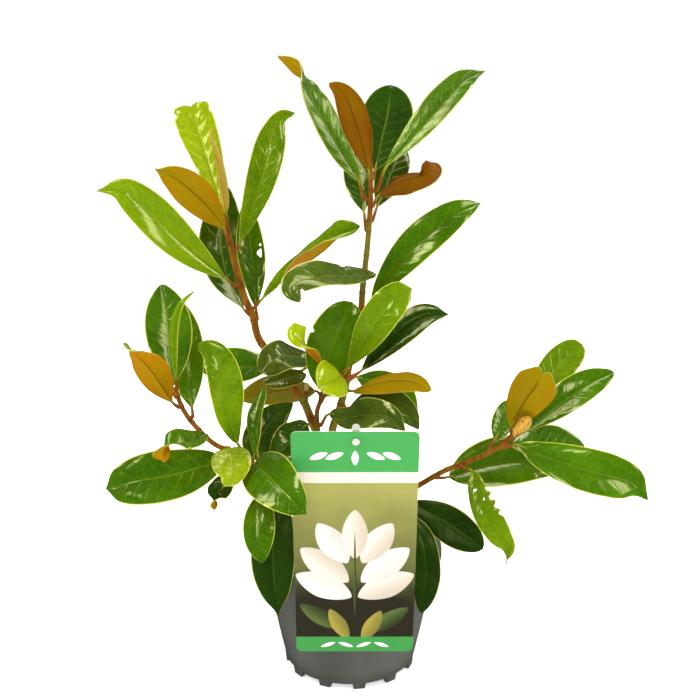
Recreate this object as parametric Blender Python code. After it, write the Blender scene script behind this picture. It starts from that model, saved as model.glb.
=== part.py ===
"""A potted southern magnolia: a nursery pot with soil, woody stems, fifty-five large leaves,
a plain care label and the stake that holds it. Metres, +Z up, origin under the pot's middle."""

import bpy
import bmesh
from math import cos, exp, pi, radians, sin, tan
from mathutils import Matrix, Vector

MM = 0.001
GAP = 0.3 * MM

# Pot, a turned plastic shell with a rolled rim and short feet
POT_HEIGHT = 118 * MM
RIM_RADIUS = 88 * MM
RIM_DEPTH = 9 * MM
WALL_TOP_RADIUS = 82 * MM
WALL_BASE_RADIUS = 62.5 * MM
WALL = 1.6 * MM
WALL_BULGE = 1.2 * MM
BULGE_HEIGHTS = (45 * MM, 80 * MM)
BASE_ROUND = 3 * MM
RIM_ROUND = 2 * MM
RIM_STEP = 1 * MM
FOOT_HEIGHT = 4 * MM
FOOT_COUNT = 12
FOOT_START = radians(-82)
FOOT_WIDTH = 13 * MM
FOOT_DEPTH = 6 * MM
FOOT_STAND_OUT = 1.1 * MM
FOOT_ROOT = 1 * MM
CENTRE_PAD_RADIUS = 9 * MM
POT_SIDES = 32

# Soil, which fills the pot to a little below its rim
SOIL_TOP = 106 * MM
SOIL_LUMP = 1.6 * MM
SOIL_INSET = WALL + GAP + 0.35 * MM
SOIL_BASE_INSET = 0.3 * MM
SOIL_FLOOR_GAP = GAP + 1 * MM
SOIL_RINGS = (1.0, 0.82, 0.6, 0.36)
TRUNK_FOOT = 62 * MM
TRUNK_HOLE_SPARE = 0.5 * MM
TRUNK_RADIUS = 5.2 * MM

# Care label and its stake, both leaning towards the front
LABEL_WIDTH = 105 * MM
LABEL_HEIGHT = 229 * MM
LABEL_THICK = 0.8 * MM
LABEL_CORNER = 5 * MM
LABEL_CORNER_STEPS = 4
LABEL_REST_ON_RIM = 3 * MM
LABEL_LEAN = radians(11.0)
LABEL_MIDDLE_X = 4.2 * MM
LABEL_BOTTOM_Z = 48 * MM
STAKE_LEAN = radians(14.1)
STAKE_WIDTH = 6.5 * MM
STAKE_THICK = 1.5 * MM
STAKE_X = 4.8 * MM
STAKE_LENGTH = 221 * MM
STAKE_ABOVE_LABEL = 6.0 * MM
STAKE_BEHIND_LABEL = 0.1 * MM
STAKE_POINT = 8 * MM
STAKE_ARC_STEPS = 8
PEG_DOWN = 9 * MM
PEG_RADIUS = 2.0 * MM
PEG_SIDES = 12
PEG_INTO_HEAD = 0.5 * MM
PEG_INTO_STAKE = 1.9 * MM
PEG_HEAD_RADIUS = 3.2 * MM
PEG_HEAD_THICK = 1.2 * MM
HOLE_HALF_DEPTH = 5 * MM

# Leaf blades: thickness, leaf stalk and the usual shape of the outline, as the powers by which it
# widens from the base and narrows to the tip. Arch makes the two halves bulge between the midrib and
# the edges. The stalk turns into the blade over the first share of the blade's length, and the roll
# is counted from the middle station
BLADE = 0.7 * MM
RIB_EXTRA = 0.35 * MM
STALK_RADIUS = 1.25 * MM
STALK_GAP = GAP + 0.1 * MM
STALK_FOOT = 2.5 * MM
STALK_TO_BLADE = 0.12
WAVE_ALONG = 11
WAVE_ACROSS = 1.5
OUTLINE = (0.92, 0.80)
ARCH = 0.75
STALK_STEPS = (0.0, 0.35, 0.7)
BLADE_STEPS = (0.03, 0.13, 0.27, 0.42, 0.57, 0.72, 0.85, 0.95)
MIDDLE_STATION = 6
ACROSS = (-1.0, -0.5, 0.0, 0.5, 1.0)
STALK_TOP = (-0.7, -0.15, 0.0, -0.15, -0.7)
STALK_DEPTH = (0.6, 1.7, 2.0, 1.7, 0.6)

# The front view in which the plant's branching is laid out: a grid 700 wide and 700 high,
# seen by an eye in front of the pot that looks slightly down
EYE = Vector((0.0, -900 * MM, 541 * MM))
EYE_PITCH = radians(14.4)
EYE_SCALE = 1016.0
VIEW_MIDDLE = 350.0
CURVE_STEPS = 12

# Each stem: its route as (view x, view y, depth in mm behind the pot's axis), and its radius in mm
# at the start and at the end
STEMS = {
    "top": (((350, 548, 0), (344, 510, -1), (337, 462, -2), (332, 433, -3), (339.5, 409, -3),
            (345, 388, -3), (350, 360, -2), (360, 319, 0), (363, 285, 1), (367, 250, 2),
            (370, 211, 4), (371, 176, 5)), 4.6, 2.3),
    "left": (((336, 466, -1), (323, 447, 2), (310, 416, 8), (304, 402, 10), (296, 391, 12),
            (284, 374, 17), (270, 355, 23), (258, 337, 28), (253, 317, 32), (244, 296, 38),
            (235, 263, 46), (226, 226, 54)), 4.4, 3.3),
    "centre": (((318, 432, 5), (317, 412, 1), (322, 399, -3), (334, 384, -10),
            (343, 375, -14)), 2.6, 2.0),
    "low": (((346, 524, -3), (322, 508, -24), (290, 490, -45), (262, 471, -56),
            (243, 456, -61), (216, 445, -60), (199, 430, -58), (184, 411, -56),
            (175, 389, -53)), 3.2, 2.2),
    "right": (((345, 528, -3), (378, 508, -12), (400, 496, -18), (421, 484, -23),
            (446, 470, -28), (472, 460, -32), (499, 447, -35), (514, 434, -37)), 3.2, 2.2),
}
# Short shoots in the same form: the bud at the top, the pruned stub and a spur on the right branch
SHOOTS = {
    "top_bud": (((371, 178, 5), (371.5, 165, 5), (371, 152, 5)), 2.2, 0.5),
    "stub": (((305, 404, 8), (306, 394, 6), (307, 383, 4)), 3.0, 2.2),
    "spur": (((513, 433, -37), (516, 423, -40), (519, 413, -43)), 1.4, 0.6),
}
# The furry bud on the right branch: its route, and its radius in mm at shares of its length
RIGHT_BUD = ((513, 435, -37), (519, 429, -40), (525, 423, -42), (530, 416, -43))
BUD_SHAPE = ((0.0, 2.1), (0.3, 4.2), (0.6, 6.4), (0.8, 5.6), (0.93, 3.2), (1.0, 1.0))
STEM_SIDES = 8
STEM_STEP = 15 * MM
SHOOT_STEP = 6 * MM
HOLE_SIDES = 12
STEM_SWELL = 0.06

# Each finish: its colour and its roughness
FINISHES = {
    "light": ((0.30, 0.44, 0.01, 1), 0.35),
    "bright": ((0.40, 0.52, 0.01, 1), 0.35),
    "mid": ((0.10, 0.27, 0.01, 1), 0.35),
    "dark": ((0.03, 0.12, 0.01, 1), 0.35),
    "olive": ((0.22, 0.24, 0.02, 1), 0.35),
    "under": ((0.40, 0.20, 0.01, 1), 0.8),
    "wood": ((0.24, 0.09, 0.02, 1), 0.6),
    "pot": ((0.09, 0.09, 0.08, 1), 0.6),
    "soil": ((0.03, 0.018, 0.01, 1), 0.95),
    "label": ((0.08, 0.44, 0.10, 1), 0.45),
    "stake": ((0.80, 0.79, 0.72, 1), 0.4),
}

# Each leaf: name, stem, where its stalk leaves the stem (view x, view y), the route of its midrib
# from the blade's base to its tip as (view x, view y, depth in mm), half its width in mm, how far
# it is rolled about its midrib in degrees, at even steps from base to tip (0 shows its upper side
# to the front, 180 its underside), the fold along the midrib in degrees, the wave of its edge in mm
# and its colour
LEAVES = (
    ("left_a", "left", (236, 286),
     ((226, 279, 32), (197, 257, 14), (169, 232, -2), (143, 206, -12), (121, 190, -18), (97, 191, -22)),
     18, (16, 8, -4), 14, 1.0, "light"),
    ("left_b", "left", (229, 240),
     ((225, 230, 42), (213, 213, 22), (196, 195, 0), (177, 180, -20), (155, 169, -34)),
     16, (180, 184, 200), 14, 0.8, "under"),
    ("left_c", "left", (227, 231),
     ((223, 218, 58), (217, 190, 68), (207, 158, 82), (197, 128, 94), (190, 104, 102)),
     19, (20, 10, 0), 12, 1.6, "bright"),
    ("left_d", "left", (226, 226),
     ((226, 212, 47), (221, 182, 38), (216, 155, 30), (211, 140, 26), (212, 127, 20)),
     6, (150, 140, 130), 40, 0.0, "bright"),
    ("left_e", "left", (232, 252),
     ((240, 243, 42), (248, 219, 42), (258, 190, 45), (267, 158, 50), (273, 133, 55), (281, 117, 59),
      (295, 113, 63)),
     15, (0, 0, 0, 70), 14, 0.8, "mid"),
    ("left_f", "left", (251, 313),
     ((243, 308, 48), (227, 276, 78), (221, 240, 98), (227, 186, 112)),
     23, (16, 12, 8), 10, 1.0, "dark"),
    ("left_g", "left", (254, 321),
     ((256, 308, 42), (254, 275, 56), (250, 240, 68), (245, 200, 74)),
     14, (-14, -14, -14), 10, 1.0, "mid"),
    ("left_h", "left", (250, 309),
     ((262, 299, 26), (283, 281, 14), (305, 264, -2), (324, 250, -18), (342, 234, -30), (360, 226, -36)),
     19, (-36, -50, -80, -85, -74, -20), 36, 0.6, "light"),
    ("top_a", "top", (365, 272),
     ((375, 275, -15), (360, 275, -28), (338, 276, -44), (316, 277, -60), (299, 281, -70),
      (292, 289, -76), (300, 302, -80)),
     16, (44, 48, 46, 30), 14, 1.4, "olive"),
    ("top_b", "top", (370, 199),
     ((359, 181, 1), (341, 151, -10), (325, 122, -16), (312, 97, -16), (304, 76, -10), (292, 64, -2),
      (278, 56, 4)),
     14, (30, 33, 35, 37, 42, 60, 132, 160), 12, 0.8, "mid"),
    ("top_c", "top", (371, 188),
     ((369, 173, -6), (363, 148, -26), (356, 124, -42), (349, 104, -54), (341, 91, -60), (329, 83, -64)),
     12.5, (182, 181, 180, 186), 14, 0.8, "under"),
    ("top_d", "top", (371, 180),
     ((375, 170, 15), (382, 138, 36), (388, 112, 52), (391, 85, 66)),
     24, (-2, -4, -5), 6, 0.8, "dark"),
    ("top_e", "top", (371, 191),
     ((386, 167, 2), (404, 146, 2), (428, 119, 6), (450, 94, 12), (465, 79, 17), (485, 71, 24)),
     14, (-28, -27, -24, -12), 17, 0.8, "mid"),
    ("top_f", "top", (370, 206),
     ((378, 196, -8), (390, 187, -26), (402, 181, -42), (415, 178, -54), (426, 175, -58),
      (430, 167, -52), (426, 161, -44)),
     13, (150, 142, 128, 112, 150), 26, 1.0, "under"),
    ("top_g", "top", (369, 229),
     ((364, 212, 16), (359, 185, 38), (353, 148, 62)),
     13, (0, 0, 0), 12, 0.8, "dark"),
    ("top_h", "top", (369, 222),
     ((377, 207, 15), (387, 184, 34), (396, 160, 54), (402, 142, 72)),
     15, (0, 0, 0), 12, 0.8, "dark"),
    ("top_i", "top", (361, 313),
     ((371, 301, -6), (390, 275, -8), (413, 249, -10), (438, 227, -8), (460, 211, -2),
      (481, 203, 8)),
     17, (-16, -14, -10), 16, 0.8, "mid"),
    ("centre_a", "centre", (321, 401),
     ((322, 391, 6), (325, 370, -1), (333, 345, -11), (343, 321, -16), (352, 302, -14)),
     24, (-8, -5, 0), 10, 0.8, "mid"),
    ("centre_b", "centre", (342, 376),
     ((347, 368, -24), (358, 351, -33), (373, 327, -44), (387, 307, -46), (398, 296, -43), (412, 288, -38)),
     16, (-10, -6, 0), 12, 0.8, "light"),
    ("centre_c", "top", (347, 376),
     ((361, 371, 9), (380, 353, 16), (401, 334, 28), (425, 317, 44), (449, 314, 56)),
     17, (-14, -12, -10), 36, 0.8, "dark"),
    ("centre_d", "top", (345, 388),
     ((353, 391, -20), (373, 385, -38), (399, 381, -56), (418, 384, -66), (431, 391, -72)),
     13, (125, 128, 135), 10, 0.6, "under"),
    ("centre_e", "centre", (339, 379),
     ((341, 376, -30), (334, 379, -48), (326, 383, -62), (318, 388, -72)),
     19, (15, 10, 5), 16, 0.4, "bright"),
    ("centre_f", "centre", (333, 385),
     ((326, 372, -26), (318, 360, -40), (309, 349, -50), (301, 339, -54), (296, 332, -55), (294, 323, -56)),
     12, (132, 132, 130, 110, 40, 0), 10, 0.4, "bright"),
    ("centre_g", "top", (346, 381),
     ((356, 377, 14), (376, 382, 32), (397, 396, 48), (417, 420, 60)),
     18, (10, 5, 0), 12, 1.0, "mid"),
    ("centre_h", "top", (341, 403),
     ((347, 412, -12), (364, 405, -26), (384, 401, -40), (404, 410, -52), (419, 429, -58)),
     15, (-14, -12, -8), 14, 1.8, "olive"),
    ("centre_i", "centre", (318, 424),
     ((329, 414, -18), (347, 417, -36), (368, 415, -54), (389, 417, -68), (405, 430, -78)),
     15, (-34, -26, -20), 16, 2.4, "olive"),
    ("back_a", "left", (283, 373),
     ((274, 368, 34), (252, 367, 52), (226, 366, 70), (196, 362, 86)),
     19, (24, 20, 16), 12, 1.0, "dark"),
    ("back_b", "centre", (322, 399),
     ((316, 391, 10), (296, 389, 34), (270, 392, 54), (238, 399, 70)),
     17, (150, 150, 150), 10, 0.8, "olive"),
    ("back_c", "left", (288, 379),
     ((310, 363, 21), (301, 357, 12), (288, 356, -7), (275, 359, -23), (262, 373, -35)),
     16, (36, 36, 40), 10, 1.8, "olive"),
    ("back_d", "left", (293, 387),
     ((305, 374, 2), (295, 376, -8), (280, 380, -16), (263, 384, -22)),
     13, (42, 42, 42), 10, 0.8, "dark"),
    ("back_e", "low", (262, 471),
     ((258, 456, -60), (257, 434, -52), (260, 410, -42), (265, 387, -30)),
     12, (-55, -55, -50), 24, 0.8, "mid"),
    ("back_f", "low", (256, 467),
     ((253, 460, -44), (256, 448, -33), (263, 433, -22), (275, 417, -12), (293, 403, -2)),
     17, (8, 8, 8), 10, 0.8, "dark"),
    ("back_g", "left", (319, 438),
     ((308, 424, -6), (297, 434, -20), (286, 447, -32), (272, 462, -38)),
     17, (0, 0, 0), 14, 1.0, "dark"),
    ("low_a", "low", (178, 397),
     ((172, 388, -48), (170, 352, -34), (167, 316, -18), (162, 284, -4)),
     21, (10, 5, 0), 10, 0.8, "mid"),
    ("low_b", "low", (190, 419),
     ((192, 408, -46), (189, 386, -28), (185, 355, -10), (183, 328, 6), (180, 300, 18)),
     18, (-12, -8, -5), 10, 0.8, "mid"),
    ("low_c", "low", (175, 389),
     ((176, 378, -62), (175, 350, -74), (177, 322, -80), (182, 304, -80), (194, 291, -74)),
     5.5, (-48, -48, -50, -60), 22, 0.4, "light"),
    ("low_d", "low", (181, 406),
     ((172, 402, -66), (159, 382, -84), (145, 363, -98), (123, 343, -106)),
     14, (178, 176, 172, 166, 158, 130, 40), 14, 0.8, "under"),
    ("low_e", "low", (250, 461),
     ((238, 444, -76), (230, 419, -86), (226, 392, -94), (221, 367, -96), (213, 352, -94), (198, 344, -92)),
     15, (20, 20, 15, 5), 14, 0.8, "light"),
    ("low_f", "low", (224, 448),
     ((230, 448, -74), (231, 459, -90), (232, 470, -102), (230, 479, -112), (224, 486, -118)),
     17, (0, 0, 0), 10, 0.4, "bright"),
    ("low_g", "low", (234, 452),
     ((224, 460, -66), (204, 466, -72), (172, 475, -80), (138, 481, -88), (106, 489, -92)),
     23, (14, 10, 0), 10, 1.8, "mid"),
    ("low_h", "low", (208, 438),
     ((206, 435, -78), (196, 439, -90), (183, 442, -100), (170, 444, -106), (163, 451, -106), (164, 462, -102)),
     13, (46, 42, 38, 90, 168), 22, 0.8, "mid"),
    ("low_i", "low", (229, 451),
     ((231, 466, -54), (228, 477, -58), (222, 487, -64), (215, 496, -69), (214, 510, -72)),
     10, (10, 8, 5, 0, 90, 180), 14, 0.6, "dark"),
    ("front_a", "low", (256, 467),
     ((254, 463, -82), (267, 475, -110), (285, 493, -134), (307, 515, -150)),
     22, (-5, 0, 5), 12, 0.8, "mid"),
    ("front_b", "low", (269, 476),
     ((266, 489, -76), (260, 515, -94), (259, 540, -104), (262, 563, -108)),
     14, (0, 0, 0), 14, 0.8, "mid"),
    ("front_c", "low", (282, 485),
     ((282, 502, -58), (275, 530, -70), (273, 560, -76), (275, 590, -78), (278, 617, -78)),
     20, (0, 0, 0), 12, 1.6, "dark"),
    ("front_d", "right", (406, 493),
     ((410, 502, -38), (424, 510, -50), (446, 522, -62), (466, 536, -70), (483, 549, -76)),
     17, (12, 10, 8), 10, 0.8, "dark"),
    ("front_e", "right", (392, 500),
     ((402, 512, -46), (420, 534, -70), (426, 565, -80), (425, 592, -80), (421, 613, -78)),
     13, (-10, 0, 0), 12, 0.8, "dark"),
    ("right_a", "right", (513, 435),
     ((511, 427, -25), (517, 414, -31), (527, 398, -48), (537, 384, -64), (545, 369, -76)),
     19, (180, 180, 180), 10, 0.8, "olive"),
    ("right_b", "right", (506, 441),
     ((522, 423, -13), (539, 394, 0), (556, 369, 12), (570, 354, 20), (582, 344, 25)),
     16, (0, 0, 0), 10, 0.8, "mid"),
    ("right_c", "right", (511, 437),
     ((524, 431, -23), (548, 412, -20), (572, 395, -20), (594, 381, -18), (614, 372, -14)),
     16, (-24, -22, -16), 14, 0.8, "mid"),
    ("right_d", "right", (500, 446),
     ((512, 446, -22), (534, 443, -2), (558, 443, 13), (585, 449, 26)),
     17, (-16, -16, -8), 10, 0.8, "dark"),
    ("right_e", "right", (505, 442),
     ((518, 445, -48), (546, 457, -62), (582, 469, -72), (613, 477, -75), (634, 484, -74), (648, 500, -71)),
     20, (-10, -9, -8, -4, 0), 14, 1.0, "mid"),
    ("right_f", "right", (462, 464),
     ((472, 471, -46), (478, 490, -58), (487, 512, -68), (499, 533, -72), (507, 548, -72), (506, 564, -70)),
     13, (30, 26, 12, 14, 24, 120), 16, 1.0, "light"),
    ("right_g", "right", (434, 476),
     ((449, 477, -12), (474, 469, 6), (500, 463, 20), (530, 461, 32), (560, 468, 40)),
     26, (-12, -12, -10), 18, 1.0, "dark"),
    ("right_h", "right", (489, 452),
     ((495, 440, -22), (500, 428, -12), (508, 413, 0), (518, 401, 12)),
     12, (10, 10, 10), 12, 0.6, "mid"),
)

# Leaves whose outline differs from the usual one: how full it is towards the base and the tip, as
# powers, where a smaller one is fuller
OUTLINES = {
    "right_a": (0.62, 0.40), "low_f": (0.50, 0.66), "low_g": (0.60, 0.48), "front_d": (0.9, 0.62),
    "front_e": (0.85, 0.66), "right_g": (0.65, 0.66), "left_c": (0.85, 0.20), "left_a": (0.95, 0.72),
    "centre_e": (0.85, 0.6), "low_h": (0.7, 0.6), "left_d": (0.5, 0.9), "top_b": (0.75, 0.84),
    "front_a": (0.55, 0.74), "low_a": (0.9, 0.72), "top_f": (0.75, 0.42), "back_c": (0.6, 0.42),
    "left_b": (0.90, 0.78), "left_e": (0.95, 0.68), "top_c": (1.0, 0.72), "top_d": (0.85, 0.55),
    "top_e": (0.95, 0.72), "low_e": (0.85, 0.62), "centre_f": (2.4, 0.75), "left_h": (0.95, 0.62),
    "centre_a": (0.70, 0.52), "centre_b": (0.95, 0.50), "right_b": (0.9, 0.42), "right_d": (0.7, 0.55),
    "right_h": (0.7, 0.6), "right_c": (0.85, 0.66), "right_e": (0.75, 0.62), "right_f": (0.66, 0.78),
    "top_a": (0.85, 0.70), "front_c": (0.62, 0.86), "back_f": (0.50, 0.80), "centre_d": (0.75, 0.64),
}

# Leaves with a drawn-out tip: how long it is, as a share of the leaf's length
TIPS = {"right_e": 0.13, "left_a": 0.09, "top_e": 0.08, "left_b": 0.06, "front_a": 0.05,
        "centre_c": 0.06, "top_i": 0.04, "low_g": 0.04, "front_c": 0.10, "right_f": 0.07,
        "centre_b": 0.04}
TIP_PINCH = 0.62

# Leaves that end bluntly: how much of their length is missing
BLUNT_ENDS = {"right_a": 0.05, "left_c": 0.05}


def sight(view_x, view_y, depth):
    """The point seen at (view x, view y) that lies depth millimetres behind the pot's axis."""
    across = (view_x - VIEW_MIDDLE) / EYE_SCALE
    up = (VIEW_MIDDLE - view_y) / EYE_SCALE
    forward = cos(EYE_PITCH) + up * sin(EYE_PITCH)
    rise = up * cos(EYE_PITCH) - sin(EYE_PITCH)
    reach = (depth * MM - EYE.y) / forward
    return Vector((EYE.x + reach * across, depth * MM, EYE.z + reach * rise))


def view_of(point):
    """Where a point is seen in the front view."""
    away = point - EYE
    depth = away.y * cos(EYE_PITCH) - away.z * sin(EYE_PITCH)
    up = away.y * sin(EYE_PITCH) + away.z * cos(EYE_PITCH)
    return Vector((VIEW_MIDDLE + EYE_SCALE * away.x / depth, VIEW_MIDDLE - EYE_SCALE * up / depth))


def smooth_curve(knots):
    """Points along a smooth curve through the knots."""
    points = []
    padded = [2 * knots[0] - knots[1]] + list(knots) + [2 * knots[-1] - knots[-2]]
    for before, start, end, after in zip(padded, padded[1:], padded[2:], padded[3:]):
        span = (end - start).length
        slope_in = (end - before) * (span / max((end - before).length, span))
        slope_out = (after - start) * (span / max((after - start).length, span))
        for step in range(CURVE_STEPS):
            t = step / CURVE_STEPS
            points.append(start * (2 * t**3 - 3 * t**2 + 1) + slope_in * (t**3 - 2 * t**2 + t)
                          + end * (3 * t**2 - 2 * t**3) + slope_out * (t**3 - t**2))
    points.append(knots[-1].copy())
    return points


def lengths_along(points):
    total = [0.0]
    for before, after in zip(points, points[1:]):
        total.append(total[-1] + (after - before).length)
    return total


def point_at(points, lengths, wanted):
    """The point and the direction at a length along a curve."""
    wanted = min(max(wanted, 0.0), lengths[-1])
    last = len(points) - 2
    index = next((i for i in range(last + 1) if lengths[i + 1] >= wanted), last)
    span = lengths[index + 1] - lengths[index]
    share = (wanted - lengths[index]) / span if span else 0.0
    spot = points[index].lerp(points[index + 1], share)
    ahead = points[min(index + 2, last + 1)] - points[max(index - 1, 0)]
    return spot, ahead.normalized()


def make_material(name, finish):
    colour, roughness = FINISHES[finish]
    material = bpy.data.materials.new(name)
    material.use_nodes = True
    shader = material.node_tree.nodes["Principled BSDF"]
    shader.inputs["Base Color"].default_value = colour
    shader.inputs["Roughness"].default_value = roughness
    shader.inputs["Metallic"].default_value = 0.0
    return material


def make_object(name, bm, finish):
    """An object from a bmesh, with its own material and its faces pointing out."""
    bmesh.ops.recalc_face_normals(bm, faces=bm.faces)
    mesh = bpy.data.meshes.new(name)
    bm.to_mesh(mesh)
    bm.free()
    mesh.materials.append(make_material(name, finish))
    item = bpy.data.objects.new(name, mesh)
    bpy.context.scene.collection.objects.link(item)
    return item


def skin(bm, rings):
    """Joins closed rings of points into a tube with both ends closed."""
    rows = [[bm.verts.new(point) for point in ring] for ring in rings]
    count = len(rows[0])
    for row, after in zip(rows, rows[1:]):
        for i in range(count):
            j = (i + 1) % count
            bm.faces.new((row[i], row[j], after[j]))
            bm.faces.new((row[i], after[j], after[i]))
    bm.faces.new(rows[0])
    bm.faces.new(rows[-1])


def cut(item, cutter):
    """Cuts the cutter out of the item and removes the cutter."""
    modifier = item.modifiers.new("Cut", "BOOLEAN")
    modifier.operation = "DIFFERENCE"
    modifier.object = cutter
    apply_modifiers(item)
    bpy.data.objects.remove(cutter)


def apply_modifiers(item):
    """Replaces an object's mesh by its evaluated mesh and clears its modifiers."""
    graph = bpy.context.evaluated_depsgraph_get()
    mesh = bpy.data.meshes.new_from_object(item.evaluated_get(graph))
    item.modifiers.clear()
    item.data = mesh


def join_by_union(item, others):
    """Unites the others with the item in one Boolean on a collection, then removes them."""
    collection = bpy.data.collections.new("Joined")
    bpy.context.scene.collection.children.link(collection)
    for other in others:
        bpy.context.scene.collection.objects.unlink(other)
        collection.objects.link(other)
    modifier = item.modifiers.new("Join", "BOOLEAN")
    modifier.operation = "UNION"
    modifier.operand_type = "COLLECTION"
    modifier.collection = collection
    apply_modifiers(item)
    for other in others:
        bpy.data.objects.remove(other)
    bpy.data.collections.remove(collection)


def turned(bm, profile, sides):
    """Turns a profile of (radius, height), which starts and ends on the Z axis, about it."""
    rings = []
    for side in range(sides):
        angle = 2 * pi * side / sides
        rings.append([bm.verts.new((r * cos(angle), r * sin(angle), z)) for r, z in profile])
    for ring, after in zip(rings, rings[1:] + rings[:1]):
        for i in range(len(profile)):
            j = (i + 1) % len(profile)
            if j:
                bm.faces.new((ring[i], ring[j], after[j], after[i]))
    bmesh.ops.remove_doubles(bm, verts=bm.verts, dist=0.001 * MM)


def foot_block(size, place, turn):
    """One of the pot's feet, a plain block."""
    bm = bmesh.new()
    bmesh.ops.create_cube(bm, size=1.0)
    bmesh.ops.scale(bm, vec=size, verts=bm.verts)
    bmesh.ops.transform(bm, matrix=Matrix.Translation(place) @ turn, verts=bm.verts)
    return make_object("foot", bm, "pot")


def wall_radius(height):
    """Outer radius of the pot's tapered wall at a height."""
    share = (height - FOOT_HEIGHT) / (POT_HEIGHT - RIM_DEPTH - FOOT_HEIGHT)
    return WALL_BASE_RADIUS + (WALL_TOP_RADIUS - WALL_BASE_RADIUS) * share


def wall_bow(inset):
    """The two points of the wall's profile where it bows out, moved in by an inset."""
    return [(wall_radius(height) + WALL_BULGE - inset, height) for height in BULGE_HEIGHTS]


def make_pot():
    """The pot's shell with its rolled rim, and its feet joined on."""
    lip = POT_HEIGHT - RIM_DEPTH
    floor = FOOT_HEIGHT + 2 * WALL
    profile = [
        (0, 0), (CENTRE_PAD_RADIUS, 0), (CENTRE_PAD_RADIUS + RIM_STEP, FOOT_HEIGHT),
        (WALL_BASE_RADIUS - BASE_ROUND, FOOT_HEIGHT),
        (WALL_BASE_RADIUS, FOOT_HEIGHT + BASE_ROUND), *wall_bow(0),
        (WALL_TOP_RADIUS, lip), (RIM_RADIUS - RIM_STEP, lip + RIM_STEP),
        (RIM_RADIUS, lip + RIM_STEP + RIM_ROUND), (RIM_RADIUS, POT_HEIGHT - RIM_ROUND),
        (RIM_RADIUS - RIM_ROUND, POT_HEIGHT), (WALL_TOP_RADIUS - WALL + RIM_STEP, POT_HEIGHT),
        (WALL_TOP_RADIUS - WALL, lip), *wall_bow(WALL)[::-1],
        (WALL_BASE_RADIUS - WALL, floor + RIM_STEP), (0, floor),
    ]
    bm = bmesh.new()
    turned(bm, profile, POT_SIDES)
    pot = make_object("pot", bm, "pot")
    foot_radius = WALL_BASE_RADIUS - FOOT_DEPTH / 2 + FOOT_STAND_OUT
    feet = []
    for number in range(FOOT_COUNT):
        angle = 2 * pi * number / FOOT_COUNT + FOOT_START
        size = (FOOT_DEPTH, FOOT_WIDTH, FOOT_HEIGHT + FOOT_ROOT)
        place = (foot_radius * cos(angle), foot_radius * sin(angle), size[2] / 2)
        feet.append(foot_block(size, place, Matrix.Rotation(angle, 4, "Z")))
    join_by_union(pot, feet)
    return pot


def make_soil():
    """The root ball and soil, with a lumpy top."""
    base = FOOT_HEIGHT + 2 * WALL + SOIL_FLOOR_GAP
    angles = [2 * pi * i / POT_SIDES for i in range(POT_SIDES)]
    rings = []
    for radius, height in [(WALL_BASE_RADIUS - SOIL_INSET - SOIL_BASE_INSET, base), *wall_bow(SOIL_INSET)]:
        rings.append([Vector((radius * cos(angle), radius * sin(angle), height)) for angle in angles])
    for share in SOIL_RINGS:
        radius = (wall_radius(SOIL_TOP) - SOIL_INSET) * share
        ring = []
        for angle in angles:
            lump = sin(5 * angle + 9 * share) * cos(3 * angle - 14 * share) * SOIL_LUMP
            ring.append(Vector((radius * cos(angle), radius * sin(angle), SOIL_TOP + lump)))
        rings.append(ring)
    bm = bmesh.new()
    skin(bm, rings)
    return make_object("soil", bm, "soil")


def tube(name, knots, start_radius, end_radius, sides=STEM_SIDES, step=STEM_STEP, swell=0.0):
    """A tapering round stem through the knots. Swell adds low rings where leaves once grew."""
    points = smooth_curve(knots)
    lengths = lengths_along(points)
    count = max(3, round(lengths[-1] / step))
    rings = []
    side = Vector((0, 1, 0))
    for index in range(count + 1):
        share = index / count
        spot, ahead = point_at(points, lengths, share * lengths[-1])
        side = (side - ahead * side.dot(ahead)).normalized()
        other = ahead.cross(side)
        radius = start_radius + (end_radius - start_radius) * share
        radius *= 1 + swell * (index % 2)
        rings.append([spot + (side * cos(2 * pi * i / sides) + other * sin(2 * pi * i / sides)) * radius
                      for i in range(sides)])
    bm = bmesh.new()
    skin(bm, rings)
    return make_object(name, bm, "wood")


def stem_knots(name):
    knots = [sight(*place) for place in STEMS[name][0]]
    if name == "top":
        knots.insert(0, Vector((0, 0, TRUNK_FOOT)))
    return knots


def right_bud():
    """The furry bud at the end of the right branch, rooted in the branch."""
    points = smooth_curve([sight(*place) for place in RIGHT_BUD])
    lengths = lengths_along(points)
    rings = []
    for share, radius in BUD_SHAPE:
        spot, ahead = point_at(points, lengths, share * lengths[-1])
        side = (Vector((0, 0, 1)) - ahead * ahead.z).normalized()
        other = ahead.cross(side)
        angles = [2 * pi * i / STEM_SIDES for i in range(STEM_SIDES)]
        rings.append([spot + (side * cos(a) + other * sin(a)) * radius * MM for a in angles])
    bm = bmesh.new()
    skin(bm, rings)
    return make_object("bud", bm, "under")


def make_stems():
    """All the wood in one piece: the trunk, its branches, the pruned stub and the buds."""
    top = tube("stems", stem_knots("top"), TRUNK_RADIUS, STEMS["top"][2] * MM, swell=STEM_SWELL)
    others = []
    for name in ("left", "centre", "low", "right"):
        _, start, end = STEMS[name]
        others.append(tube(name, stem_knots(name), start * MM, end * MM, swell=STEM_SWELL))
    for name, (route, start, end) in SHOOTS.items():
        knots = [sight(*place) for place in route]
        others.append(tube(name, knots, start * MM, end * MM, step=SHOOT_STEP))
    others.append(right_bud())
    join_by_union(top, others)
    return top


def stem_frame(stem, view_x, view_y):
    """The middle, direction and radius of a stem where it is seen at (view x, view y)."""
    points = smooth_curve(stem_knots(stem))
    lengths = lengths_along(points)
    wanted = Vector((view_x, view_y))
    index = min(range(len(points)), key=lambda i: (view_of(points[i]) - wanted).length)
    spot, ahead = point_at(points, lengths, lengths[index])
    start = TRUNK_RADIUS if stem == "top" else STEMS[stem][1] * MM
    radius = start + (STEMS[stem][2] * MM - start) * lengths[index] / lengths[-1]
    return spot, ahead, radius * (1 + STEM_SWELL)


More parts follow.
